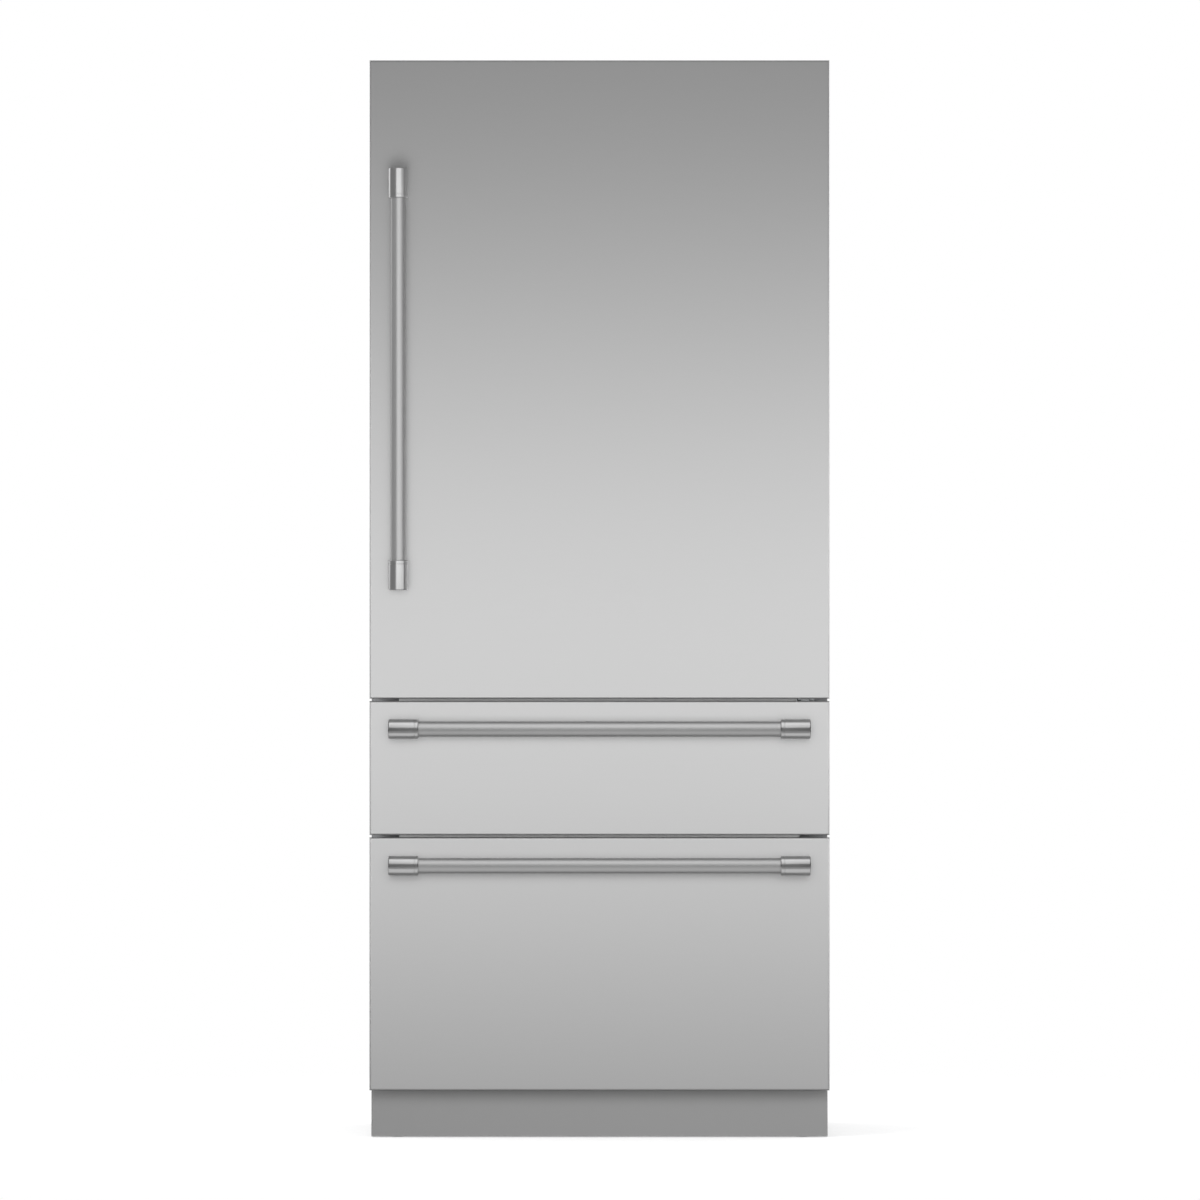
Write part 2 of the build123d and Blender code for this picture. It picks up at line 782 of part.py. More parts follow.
y_shelf0 = y_flange + shelf_front
y_shelf1 = y_cavity - shelf_rear_gap
y_ladder = y_cavity - ladder_depth
cover_rear = y_cavity - duct_depth - gap
z_cover = z_fridge0 + ledge_top
cover_frame_height = 14
cover_glass_half = x_cavity - 28
glass_recess = 8

# Glass: three shelves and the cover over the crispers
with BuildPart() as glass_shelves:
    for level in shelf_levels:
        z = z_fridge0 + level
        block(-shelf_half, shelf_half, y_shelf0 + trim_lip, y_shelf1, z, z + glass)
    block(
        -cover_glass_half, cover_glass_half,
        y_shelf0 + trim_lip + glass_recess, cover_rear - glass_recess - trim_lip,
        z_cover + cover_frame_height - glass, z_cover + cover_frame_height,
    )
save(glass_shelves, "glass_shelves")


def shelf_arm(x, z):
    """Steel arm under a shelf, tapered to the front, with two hooks in the ladder's slots."""
    with BuildSketch(along_x(x - arm_steel / 2, 0, z)) as side_view:
        Polygon(
            (y_shelf0 + arm_setback, 0),
            (y_ladder, 0),
            (y_ladder, -arm_rear_height),
            (y_shelf0 + arm_setback, -arm_front_height),
            align=None,
        )
    extrude(side_view.sketch, amount=arm_steel)


# Shelf frames: arms and front trims of the shelves, and the frame over the crispers
divider_half = 4
divider_drop = 90
with BuildPart() as shelf_frames:
    for level in shelf_levels:
        z = z_fridge0 + level
        for side in (-1, 1):
            shelf_arm(side * ladder_x, z)
        block(
            -shelf_half - liner, shelf_half + liner, y_shelf0, y_shelf0 + 3 * trim_lip,
            z - liner, z + glass + liner,
        )
        block(
            -shelf_half, shelf_half, y_shelf0 + trim_lip, y_shelf0 + 3 * trim_lip,
            z, z + glass, Mode.SUBTRACT,
        )
    block(
        -x_cavity, x_cavity, y_flange + crisper_front, cover_rear, z_cover, z_cover + cover_frame_height,
    )
    block(
        -cover_glass_half, cover_glass_half,
        y_shelf0 + trim_lip + glass_recess, cover_rear - glass_recess - trim_lip,
        z_cover + cover_frame_height - glass, z_cover + cover_frame_height, Mode.SUBTRACT,
    )
    block(
        -cover_glass_half + glass_recess, cover_glass_half - glass_recess,
        y_shelf0 + trim_lip + 2 * glass_recess, cover_rear - 2 * glass_recess - trim_lip,
        z_cover, z_cover + cover_frame_height, Mode.SUBTRACT,
    )
    block(
        -divider_half, divider_half, y_shelf0 + trim_lip, cover_rear - glass_recess,
        z_cover - divider_drop, z_cover + cover_frame_height - glass,
    )
save(shelf_frames, "shelf_frames")

crisper_side_gap = 2
crisper_x = (divider_half + crisper_side_gap, x_cavity - ledge_width - crisper_side_gap)
crisper_top = ledge_top - ledge_height - 4
crisper_rear_gap = 25
crisper_y = (y_flange + crisper_front, y_cavity - duct_depth - crisper_rear_gap)
crisper_wall = 2.5
crisper_radius = 12
pull_half = 110
pull_reach = 8
pull_height = 12


def open_box(x0, x1, y0, y1, z0, z1, wall, radius):
    """Moulded box, open at the top, with rounded upright corners."""
    with BuildSketch(along_z((x0 + x1) / 2, (y0 + y1) / 2, z0)) as outside:
        RectangleRounded(x1 - x0, y1 - y0, radius)
    extrude(outside.sketch, amount=z1 - z0)
    with BuildSketch(along_z((x0 + x1) / 2, (y0 + y1) / 2, z0 + wall)) as inside:
        RectangleRounded(x1 - x0 - 2 * wall, y1 - y0 - 2 * wall, radius - wall)
    extrude(inside.sketch, amount=z1 - z0 - wall, mode=Mode.SUBTRACT)


def crisper(side):
    """Crisper drawer, left or right of the middle divider, with a pull lip."""
    x0, x1 = sorted((side * crisper_x[0], side * crisper_x[1]))
    with BuildPart() as drawer:
        open_box(
            x0, x1, *crisper_y,
            z_fridge0 + slide_fit, z_fridge0 + crisper_top, crisper_wall, crisper_radius,
        )
        x = (x0 + x1) / 2
        z = z_fridge0 + crisper_top - 2 * pull_height
        block(x - pull_half, x + pull_half, crisper_y[0] - pull_reach, crisper_y[0], z, z + pull_height)
    return drawer


crisper_left = crisper(-1)
save(crisper_left, "crisper_left")
crisper_right = crisper(1)
save(crisper_right, "crisper_right")

# Control panel: touch panel under the ceiling, near the front
control_half = 160
control_height = 22
control_y = (55, 130)
with BuildPart() as control_panel:
    with BuildSketch(Plane.YZ):
        with BuildLine():
            Polyline(
                (y_flange + control_y[0], z_fridge1),
                (y_flange + control_y[0] + control_height / 2, z_fridge1 - control_height),
                (y_flange + control_y[1], z_fridge1 - control_height),
                (y_flange + control_y[1], z_fridge1),
                close=True,
            )
        make_face()
    extrude(amount=control_half, both=True)
save(control_panel, "control_panel")

# Light bars: one under the ceiling and one on each side wall
bar_depth = 6
ceiling_bar_half = 180
ceiling_bar_y = (160, 190)
side_bar_y = (30, 45)
side_bar_z = (z_fridge0 + 340, z_fridge1 - 110)
with BuildPart() as light_bars:
    block(
        -ceiling_bar_half, ceiling_bar_half, y_flange + ceiling_bar_y[0], y_flange + ceiling_bar_y[1],
        z_fridge1 - bar_depth, z_fridge1,
    )
    for x in (-x_cavity, x_cavity - bar_depth):
        block(x, x + bar_depth, y_flange + side_bar_y[0], y_flange + side_bar_y[1], *side_bar_z)
save(light_bars, "light_bars")

# HINGES

z_top_plate = z_cabinet
z_top_body = z_door1 - door_body_inset
z_low_body = z_door0 + door_body_inset
hinge_arm_drop = 3
z_low_plate = z_low_body - hinge_arm_drop - hinge_plate
hinge_base_length = 70
hinge_base_far = 49
hinge_base_near = 12
low_plate_steel = 4
low_plate_drop = 4
low_plate_rise = 1
top_screw_places = [(-30, 25), (-30, 55), (-4, 55)]
top_screws = [(x_pin + across, y_flange + back) for across, back in top_screw_places]
low_screw_inset = 6
low_screw_x = [x_pin - hinge_arm_far + low_screw_inset, x_pin - hinge_arm_near - low_screw_inset]
z_low_screw = z_upper1 + 4


def hinge_arm(z):
    """Cranked arm from the cabinet's front to the eye round the pin."""
    with BuildSketch(along_z(0, 0, z)) as plan:
        rect(x_pin - hinge_arm_far, x_pin - hinge_arm_near, y_pin - hinge_eye_radius, y_flange)
        with Locations((x_pin, y_pin)):
            Circle(hinge_eye_radius)
        rect(x_pin - hinge_arm_near, x_pin, y_pin - hinge_eye_radius, y_pin + hinge_eye_radius)
    extrude(plan.sketch, amount=hinge_plate)


# Hinge brackets: each arm carries its own pin, the upper one down and the lower one up
with BuildPart() as hinge_brackets:
    hinge_arm(z_top_plate)
    block(
        x_pin - hinge_base_far, x_pin + hinge_base_near, y_flange, y_flange + hinge_base_length,
        z_top_plate, z_top_plate + hinge_plate,
    )
    rod(along_z(x_pin, y_pin, z_top_plate), pin_radius, -(z_top_plate - z_top_body) - hinge_pin_grip)
    with BuildSketch(along_z(0, 0, z_top_plate)):
        with Locations(*top_screws):
            Circle(screw_hole)
    extrude(amount=hinge_plate, mode=Mode.SUBTRACT)
    hinge_arm(z_low_plate)
    rod(along_z(x_pin, y_pin, z_low_plate), pin_radius, z_low_body - z_low_plate + hinge_pin_grip)
    block(
        x_pin - hinge_arm_far, x_pin - hinge_arm_near, y_flange - low_plate_steel, y_flange,
        z_upper1 - low_plate_drop, z_low_body + low_plate_rise,
    )
    with BuildSketch(front_plane(y_flange)):
        with Locations(*[(x, z_low_screw) for x in low_screw_x]):
            Circle(screw_hole)
    extrude(amount=low_plate_steel, mode=Mode.SUBTRACT)
save(hinge_brackets, "hinge_brackets")

# Screws of the hinge brackets and the machine cover, as a group
head_radius = 5
head_height = 2.5


def screw(place, grip):
    """Pan-head screw: its head stands on one side of the plane, its shank on the other."""
    side = 1 if grip > 0 else -1
    rod(place, head_radius, side * head_height)
    rod(place, screw_radius, -grip)


with BuildPart() as screws:
    for x, y in top_screws:
        screw(along_z(x, y, z_top_plate + hinge_plate), hinge_plate)
    for x in low_screw_x:
        screw(along_y(x, y_flange - low_plate_steel, z_low_screw), -low_plate_steel)
    for x in cover_screws:
        screw(along_y(x, y_tray + sheet, cover_screw_z), sheet)
save(screws, "screws")

# FRONTS


def folded_pan(z0, z1, inset):
    """Stainless front panel: sheet folded back all round, with a hem behind."""
    hem = body_inset + hem_cover
    hem_z = inset + hem_cover
    with BuildPart() as pan:
        block(-x_panel, x_panel, y_face, y_pan, z0, z1)
        fillet(pan.faces().sort_by(Axis.Y)[0].edges(), pan_bend_radius)
        block(
            -x_panel + skin, x_panel - skin, y_face + skin, y_pan - skin,
            z0 + skin, z1 - skin, Mode.SUBTRACT,
        )
        block(-x_panel + hem, x_panel - hem, y_pan - skin, y_pan, z0 + hem_z, z1 - hem_z, Mode.SUBTRACT)
    return pan


def inner_pan(z0, z1, inset):
    """Plastic pan behind a front panel, open to the front."""
    with BuildPart() as pan:
        block(-x_body, x_body, y_pan, y_back, z0 + inset, z1 - inset)
        block(
            -x_body + pan_wall, x_body - pan_wall, y_pan, y_back - pan_wall,
            z0 + inset + pan_wall, z1 - inset - pan_wall, Mode.SUBTRACT,
        )
    return pan


def foam_core(z0, z1, inset):
    """Foam that fills a front panel and the pan behind it."""
    hem = body_inset + hem_cover
    hem_z = inset + hem_cover
    with BuildPart() as core:
        block(
            -x_panel + pan_bend_radius, x_panel - pan_bend_radius, y_face + skin, y_pan - skin,
            z0 + pan_bend_radius, z1 - pan_bend_radius,
        )
        block(-x_panel + hem, x_panel - hem, y_pan - skin, y_pan, z0 + hem_z, z1 - hem_z)
        block(
            -x_panel + hem + pan_wall, x_panel - hem - pan_wall, y_pan, y_back - pan_wall,
            z0 + hem_z + pan_wall, z1 - hem_z - pan_wall,
        )
    return core


def gasket(z0, z1):
    """Seal frame behind a front, closing on the flange round an opening from z0 to z1."""
    outer = x_cavity + gasket_edge + gasket_strip
    with BuildPart() as seal:
        with BuildSketch(front_plane(y_flange - gap)):
            rect(-outer, outer, z0 - gasket_edge - gasket_strip, z1 + gasket_edge + gasket_strip)
            rect(
                -outer + gasket_strip, outer - gasket_strip, z0 - gasket_edge, z1 + gasket_edge,
                Mode.SUBTRACT,
            )
        extrude(amount=seal_gap - gap)
    return seal


def handle_bar(place):
    """Round bar along a plane's normal, reaching into both end sleeves."""
    half = handle_length / 2 - sleeve_length + sleeve_bore_depth
    with BuildPart() as bar:
        with BuildSketch(place):
            Circle(bar_radius)
        extrude(amount=half, both=True)
    return bar


def handle_ends(place):
    """Two sleeves that hold the bar's ends, each on a post to the front panel."""
    with BuildPart() as ends:
        for side in (-1, 1):
            tip = place.offset(side * handle_length / 2)
            rod(tip, sleeve_radius, -side * sleeve_length)
        chamfer(ends.edges().filter_by(GeomType.CIRCLE), sleeve_chamfer)
        for side in (-1, 1):
            middle = place.offset(side * (handle_length - sleeve_length) / 2)
            rod(Plane(origin=middle.origin, z_dir=(0, 1, 0)), post_radius, handle_reach)
            mouth = place.offset(side * (handle_length / 2 - sleeve_length))
            rod(mouth, bar_radius + fit, side * sleeve_bore_depth, Mode.SUBTRACT)
    return ends


# Door
door_handle = Plane(
    origin=(-x_panel + door_handle_inset, y_handle, z_door0 + door_handle_low + handle_length / 2),
    x_dir=(0, 1, 0), z_dir=(0, 0, 1),
)
boss_width = 26
boss_height = hinge_pin_grip + 3
dairy_drop = 202
bin_pitch = 210
bin_count = 3
z_dairy = z_fridge1 - dairy_drop
bin_levels = [z_dairy - (bin_count - n) * bin_pitch for n in range(bin_count)]
rib_side_gap = 24
rib_width = 14
rib_depth = 32
rib_drop = 40
rib_x = (x_cavity - rib_side_gap - rib_width, x_cavity - rib_side_gap)
rib_z = (bin_levels[0] - rib_drop, z_fridge1 - 22)

door_skin = folded_pan(z_door0, z_door1, door_body_inset)
save(door_skin, "door_skin")


def hinge_boss(z0, z1):
    """Solid corner in the door's inner pan, which takes a hinge pin."""
    block(x_body - boss_width, x_body, y_pan, y_back, z0, z1)


door_liner_pan = inner_pan(z_door0, z_door1, door_body_inset)
with BuildPart() as door_liner:
    add(door_liner_pan.part)
    hinge_boss(z_top_body - boss_height, z_top_body)
    hinge_boss(z_low_body, z_low_body + boss_height)
    rod(along_z(x_pin, y_pin, z_top_body), pin_radius + fit, -hinge_pin_grip - pin_end_gap, Mode.SUBTRACT)
    rod(along_z(x_pin, y_pin, z_low_body), pin_radius + fit, hinge_pin_grip + pin_end_gap, Mode.SUBTRACT)
    block(rib_x[0], rib_x[1], y_back, y_back + rib_depth, *rib_z)
    block(-rib_x[1], -rib_x[0], y_back, y_back + rib_depth, *rib_z)
save(door_liner, "door_liner")

door_foam = foam_core(z_door0, z_door1, door_body_inset)
with BuildPart() as door_insulation:
    add(door_foam.part)
    for z in (z_low_body, z_top_body - boss_height):
        block(x_body - boss_width, x_body, y_pan, y_back, z, z + boss_height, Mode.SUBTRACT)
save(door_insulation, "door_insulation")

door_gasket = gasket(z_fridge0, z_fridge1)
save(door_gasket, "door_gasket")
door_handle_bar = handle_bar(door_handle)
save(door_handle_bar, "door_handle_bar")
door_handle_ends = handle_ends(door_handle)
save(door_handle_ends, "door_handle_ends")

# Door bins: three open bins between the ribs of the liner
bin_height = 85
bin_depth = 98
bin_wall = 2.5
bin_radius = 10
bin_half = rib_x[0] - gap
with BuildPart() as door_bins:
    for z in bin_levels:
        open_box(
            -bin_half, bin_half, y_back, y_back + bin_depth, z, z + bin_height, bin_wall, bin_radius,
        )
save(door_bins, "door_bins")

# Dairy box: closed on all sides but the rear, where its flap hangs on two pins
dairy_height = 105
dairy_depth = 88
flap_wall = 2.5
flap_drop = 8
flap_pin = 2.5
flap_inset = 7
flap_room = 6
flap_floor_gap = 2
y_flap = y_back + dairy_depth - flap_inset
z_flap = z_dairy + dairy_height - flap_drop
flap_half = bin_half - flap_wall - slide_fit
with BuildPart() as dairy_box:
    block(-bin_half, bin_half, y_back, y_back + dairy_depth, z_dairy, z_dairy + dairy_height)
    block(
        -bin_half + flap_wall, bin_half - flap_wall, y_back + flap_wall, y_back + dairy_depth,
        z_dairy + flap_wall, z_dairy + dairy_height - flap_wall, Mode.SUBTRACT,
    )
    block(
        -bin_half + flap_wall, bin_half - flap_wall, y_flap - flap_room, y_back + dairy_depth,
        z_dairy + flap_wall, z_dairy + dairy_height, Mode.SUBTRACT,
    )
    rod(along_x(-bin_half, y_flap, z_flap), flap_pin + fit, 2 * bin_half, Mode.SUBTRACT)
save(dairy_box, "dairy_box")

with BuildPart() as dairy_flap:
    block(
        -flap_half, flap_half, y_flap - flap_wall, y_flap + flap_wall,
        z_dairy + flap_wall + flap_floor_gap, z_flap + flap_wall,
    )
    fillet(dairy_flap.edges().filter_by(Axis.X).group_by(Axis.Z)[-1], flap_wall - gap)
    rod(along_x(-bin_half, y_flap, z_flap), flap_pin, 2 * bin_half)
save(dairy_flap, "dairy_flap")


# Drawer fronts
def drawer_handle(z1):
    """Place of a drawer's handle, below the top edge of its panel."""
    return Plane(origin=(0, y_handle, z1 - drawer_handle_drop), x_dir=(0, 1, 0), z_dir=(1, 0, 0))


upper_drawer_skin = folded_pan(z_upper0, z_upper1, drawer_body_inset)
save(upper_drawer_skin, "upper_drawer_skin")
upper_drawer_back = inner_pan(z_upper0, z_upper1, drawer_body_inset)
save(upper_drawer_back, "upper_drawer_back")
upper_drawer_insulation = foam_core(z_upper0, z_upper1, drawer_body_inset)
save(upper_drawer_insulation, "upper_drawer_insulation")
upper_drawer_gasket = gasket(z_mid1, z_freezer1)
save(upper_drawer_gasket, "upper_drawer_gasket")
upper_handle_bar = handle_bar(drawer_handle(z_upper1))
save(upper_handle_bar, "upper_handle_bar")
upper_handle_ends = handle_ends(drawer_handle(z_upper1))
save(upper_handle_ends, "upper_handle_ends")

lower_drawer_skin = folded_pan(z_lower0, z_lower1, drawer_body_inset)
save(lower_drawer_skin, "lower_drawer_skin")
lower_drawer_back = inner_pan(z_lower0, z_lower1, drawer_body_inset)
save(lower_drawer_back, "lower_drawer_back")
lower_drawer_insulation = foam_core(z_lower0, z_lower1, drawer_body_inset)
save(lower_drawer_insulation, "lower_drawer_insulation")
lower_drawer_gasket = gasket(z_freezer0, z_mid0)
save(lower_drawer_gasket, "lower_drawer_gasket")
lower_handle_bar = handle_bar(drawer_handle(z_lower1))
save(lower_handle_bar, "lower_handle_bar")
lower_handle_ends = handle_ends(drawer_handle(z_lower1))
save(lower_handle_ends, "lower_handle_ends")

# DRAWER SLIDES AND BINS

slide_floor_gap = 28
z_upper_slide = z_mid1 + 104
z_lower_slide = z_step + slide_height / 2 + slide_floor_gap


def channel(x_outer, x_inner, z, half, y0, y1, side):
    """Steel channel on its side, its web towards the wall and its legs towards the middle."""
    xs = sorted((side * x_outer, side * x_inner))
    block(xs[0], xs[1], y0, y1, z - half, z + half)
    web = slide_steel * side
    inner = sorted((side * x_outer - web, side * x_inner))
    block(inner[0], inner[1], y0, y1, z - half + slide_steel, z + half - slide_steel, Mode.SUBTRACT)


x_slide_inner = x_cavity - slide_width
x_middle = x_cavity - slide_steel - slide_fit
x_runner = x_middle - slide_steel - slide_fit
half_cabinet_member = slide_height / 2
half_middle = half_cabinet_member - slide_steel - slide_fit
half_runner = half_middle - slide_steel - slide_fit
y_slide0 = y_flange + slide_front
y_slide1 = freezer_cover_y - slide_rear_gap
bracket_drop = 14

with BuildPart() as slide_cabinet_members:
    for z in (z_lower_slide, z_upper_slide):
        for side in (-1, 1):
            channel(x_cavity, x_slide_inner, z, half_cabinet_member, y_slide0, y_slide1, side)
save(slide_cabinet_members, "slide_cabinet_members")


def slide_middles(z):
    """Middle members of a drawer's two slides."""
    with BuildPart() as middles:
        for side in (-1, 1):
            channel(x_middle, x_slide_inner, z, half_middle, y_slide0, y_slide1, side)
    return middles


def drawer_runners(z):
    """Inner members of a drawer's slides, with a shelf for the bin's rim and a front bracket."""
    with BuildPart() as runners:
        for side in (-1, 1):
            xs = sorted((side * x_runner, side * (x_cavity - runner_web)))
            block(xs[0], xs[1], y_back, y_slide1, z - half_runner, z + half_runner)
            web = slide_steel * side
            cut = sorted((side * x_runner, side * (x_cavity - runner_web) + web))
            block(
                cut[0], cut[1], y_back, y_slide1,
                z - half_runner + slide_steel, z + half_runner - slide_steel, Mode.SUBTRACT,
            )
            shelf = sorted((side * (x_cavity - runner_shelf), side * x_runner))
            block(shelf[0], shelf[1], y_back, y_slide1, z + half_runner - slide_steel, z + half_runner)
            block(
                shelf[0], shelf[1], y_back, y_back + slide_steel,
                z - half_cabinet_member - bracket_drop, z + half_runner,
            )
    return runners


upper_slide_middles = slide_middles(z_upper_slide)
save(upper_slide_middles, "upper_slide_middles")
lower_slide_middles = slide_middles(z_lower_slide)
save(lower_slide_middles, "lower_slide_middles")
upper_drawer_runners = drawer_runners(z_upper_slide)
save(upper_drawer_runners, "upper_drawer_runners")
lower_drawer_runners = drawer_runners(z_lower_slide)
save(lower_drawer_runners, "lower_drawer_runners")

rim_steel = 3
bin_front_gap = 4
rim_side_gap = 1
drawer_bin_half = x_cavity - runner_shelf - rim_side_gap
rim_half = x_cavity - runner_web - rim_side_gap
drawer_bin_radius = 14


def drawer_bin(z0, slide_z, y1):
    """Freezer bin that hangs by its rim on the runners' shelves."""
    z_rim = slide_z + half_runner
    y0 = y_back + slide_steel + bin_front_gap
    with BuildPart() as tub:
        with BuildSketch(along_z(0, 0, z_rim)):
            rect(-rim_half, rim_half, y0, y1)
        extrude(amount=rim_steel)
        with BuildSketch(along_z(0, (y0 + y1) / 2, z0)):
            RectangleRounded(2 * drawer_bin_half, y1 - y0, drawer_bin_radius)
        extrude(amount=z_rim - z0)
        with BuildSketch(along_z(0, (y0 + y1) / 2, z0 + bin_wall)):
            RectangleRounded(
                2 * (drawer_bin_half - bin_wall), y1 - y0 - 2 * bin_wall, drawer_bin_radius - bin_wall,
            )
        extrude(amount=z_rim + rim_steel - z0 - bin_wall, mode=Mode.SUBTRACT)
    return tub


bin_floor_gap = 10
bin_rear_gap = 10
upper_drawer_bin = drawer_bin(z_mid1 + bin_floor_gap, z_upper_slide, y_slide1 - gap)
save(upper_drawer_bin, "upper_drawer_bin")
lower_drawer_bin = drawer_bin(z_freezer0 + bin_floor_gap, z_lower_slide, y_step - bin_rear_gap)
save(lower_drawer_bin, "lower_drawer_bin")

# Sliding tray over the lower bin
tray_depth = 240
tray_height = 68
tray_y0 = y_back + slide_steel + 2 * bin_front_gap
z_tray = z_lower_slide + half_runner + rim_steel + slide_fit
with BuildPart() as lower_tray:
    open_box(
        -rim_half, rim_half, tray_y0, tray_y0 + tray_depth, z_tray, z_tray + tray_height,
        bin_wall, drawer_bin_radius,
    )
save(lower_tray, "lower_tray")
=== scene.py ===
import json
import math
import bmesh
import bpy
from mathutils import Matrix, Vector

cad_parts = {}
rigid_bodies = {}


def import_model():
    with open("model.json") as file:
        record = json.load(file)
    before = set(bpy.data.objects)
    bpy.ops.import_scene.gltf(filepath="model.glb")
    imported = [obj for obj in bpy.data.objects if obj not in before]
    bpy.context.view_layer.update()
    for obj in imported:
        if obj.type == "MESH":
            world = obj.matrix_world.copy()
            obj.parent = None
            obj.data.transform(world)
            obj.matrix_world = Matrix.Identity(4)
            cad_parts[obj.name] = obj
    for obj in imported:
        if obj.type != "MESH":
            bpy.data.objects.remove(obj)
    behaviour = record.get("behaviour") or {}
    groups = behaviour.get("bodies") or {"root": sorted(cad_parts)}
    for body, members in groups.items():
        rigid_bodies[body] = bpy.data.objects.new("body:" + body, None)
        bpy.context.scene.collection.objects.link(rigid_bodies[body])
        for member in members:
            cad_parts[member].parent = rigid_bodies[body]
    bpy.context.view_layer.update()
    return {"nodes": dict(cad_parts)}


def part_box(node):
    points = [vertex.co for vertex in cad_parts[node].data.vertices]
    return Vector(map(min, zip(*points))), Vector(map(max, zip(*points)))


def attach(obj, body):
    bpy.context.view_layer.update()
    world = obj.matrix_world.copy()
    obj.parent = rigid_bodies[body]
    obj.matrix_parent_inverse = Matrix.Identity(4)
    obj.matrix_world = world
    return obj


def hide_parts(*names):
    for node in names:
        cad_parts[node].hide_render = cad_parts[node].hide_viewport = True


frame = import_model()

# The camera stands straight in front of the refrigerator, level with its middle, and far
# enough away that the panels show almost no perspective.
camera_distance = 20.0
camera_x = 0.001
camera_z = 1.0625
frame_height = 2.367
sensor = 36.0
front_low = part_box("door_skin")[0]
camera_data = bpy.data.cameras.new("camera")
camera_data.sensor_width = sensor
camera_data.lens = sensor * camera_distance / frame_height
camera = bpy.data.objects.new("camera", camera_data)
camera.location = (camera_x, front_low.y - camera_distance, camera_z)
camera.rotation_euler = (math.pi / 2, 0, 0)
bpy.context.scene.collection.objects.link(camera)
bpy.context.scene.camera = camera


# The outer shell is one wrapper of steel sheet, folded over the top and down both sides and
# painted satin grey. Its front edge is folded in as the flange that the seals close on.
def effect(name, build):
    """Surface effect as a node group: build makes its nodes and gives back tone and height."""
    group = bpy.data.node_groups.new(name, "ShaderNodeTree")
    group.interface.new_socket("Vector", in_out="INPUT", socket_type="NodeSocketVector")
    group.interface.new_socket("Tone", in_out="OUTPUT", socket_type="NodeSocketFloat")
    group.interface.new_socket("Height", in_out="OUTPUT", socket_type="NodeSocketFloat")
    nodes, links = group.nodes, group.links
    entry = nodes.new("NodeGroupInput")
    leave = nodes.new("NodeGroupOutput")
    tone, height = build(nodes, links, entry.outputs["Vector"])
    links.new(tone, leave.inputs["Tone"])
    links.new(height, leave.inputs["Height"])
    return group


def set_inputs(node, values):
    """Sets the inputs of a node, and gives the node back."""
    for socket, value in values.items():
        node.inputs[socket].default_value = value
    return node


def noise(nodes, links, vector, scale, detail, roughness=0.5):
    """Value of a noise texture on a vector."""
    values = {"Scale": scale, "Detail": detail, "Roughness": roughness}
    made = set_inputs(nodes.new("ShaderNodeTexNoise"), values)
    links.new(vector, made.inputs["Vector"])
    return made.outputs["Fac"]


def noise_effect(name, tone, height):
    """Effect of two noises, each given by its scale and detail: one for tone, one for height."""
    def build(nodes, links, vector):
        return noise(nodes, links, vector, *tone), noise(nodes, links, vector, *height)

    return effect(name, build)


def value_mix(nodes, links, first, second, share):
    """Mix of two values."""
    made = set_inputs(nodes.new("ShaderNodeMix"), {"Factor": share})
    links.new(first, made.inputs["A"])
    links.new(second, made.inputs["B"])
    return made.outputs["Result"]


def colour_mix(nodes, links, factor, *pair):
    """Mix of two colours, each given as a socket or as plain numbers."""
    made = nodes.new("ShaderNodeMix")
    made.data_type = "RGBA"
    links.new(factor, made.inputs["Factor"])
    entries = [socket for socket in made.inputs if socket.type == "RGBA"]
    for entry, colour in zip(entries, pair):
        if isinstance(colour, bpy.types.NodeSocket):
            links.new(colour, entry)
        else:
            entry.default_value = (*colour, 1)
    return next(socket for socket in made.outputs if socket.type == "RGBA")


def material_of(name):
    """New material with its nodes and links."""
    made = bpy.data.materials.new(name)
    made.use_nodes = True
    return made, made.node_tree.nodes, made.node_tree.links


def finish_of(
    name, colour, roughness, use, tone=0.03, rough=0.04, bump=0.0, scale=(1, 1, 1), tangent="", sockets=(),
):
    """Material with one effect in its colour, roughness and height. The sockets hold even values."""
    made, nodes, links = material_of(name)
    surface = nodes["Principled BSDF"]
    set_inputs(surface, dict(sockets))
    place = nodes.new("ShaderNodeTexCoord")
    mapping = set_inputs(nodes.new("ShaderNodeMapping"), {"Scale": scale})
    links.new(place.outputs["Object"], mapping.inputs["Vector"])
    group = nodes.new("ShaderNodeGroup")
    group.node_tree = use
    links.new(mapping.outputs["Vector"], group.inputs["Vector"])
    darker = [part * (1 - tone) for part in colour]
    lighter = [min(part * (1 + tone), 1.0) for part in colour]
    shade = colour_mix(nodes, links, group.outputs["Tone"], darker, lighter)
    links.new(shade, surface.inputs["Base Color"])
    values = {"To Min": max(roughness - rough, 0.01), "To Max": roughness + rough}
    span = set_inputs(nodes.new("ShaderNodeMapRange"), values)
    links.new(group.outputs["Tone"], span.inputs["Value"])
    links.new(span.outputs["Result"], surface.inputs["Roughness"])
    if bump:
        relief = set_inputs(nodes.new("ShaderNodeBump"), {"Distance": bump})
        links.new(group.outputs["Height"], relief.inputs["Height"])
        links.new(relief.outputs["Normal"], surface.inputs["Normal"])
    if tangent:
        along = nodes.new("ShaderNodeTangent")
        along.direction_type = "RADIAL"
        along.axis = tangent
        links.new(along.outputs["Tangent"], surface.inputs["Tangent"])
    return made


weld = 1e-6
flat_turn = math.radians(2)
flat_ratio = 50


def round_off(bm, edge, segments, angle=30, chosen=None):
    """Rounds the edges sharper than an angle, or those of them that are chosen."""
    sharp = [
        e for e in bm.edges
        if e.is_manifold and e.calc_face_angle(0) > math.radians(angle) and (chosen is None or chosen(e))
    ]
    bmesh.ops.bevel(
        bm, geom=sharp, offset=edge, offset_type="OFFSET", segments=segments, profile=0.5,
        affect="EDGES", clamp_overlap=True, material=-1,
    )


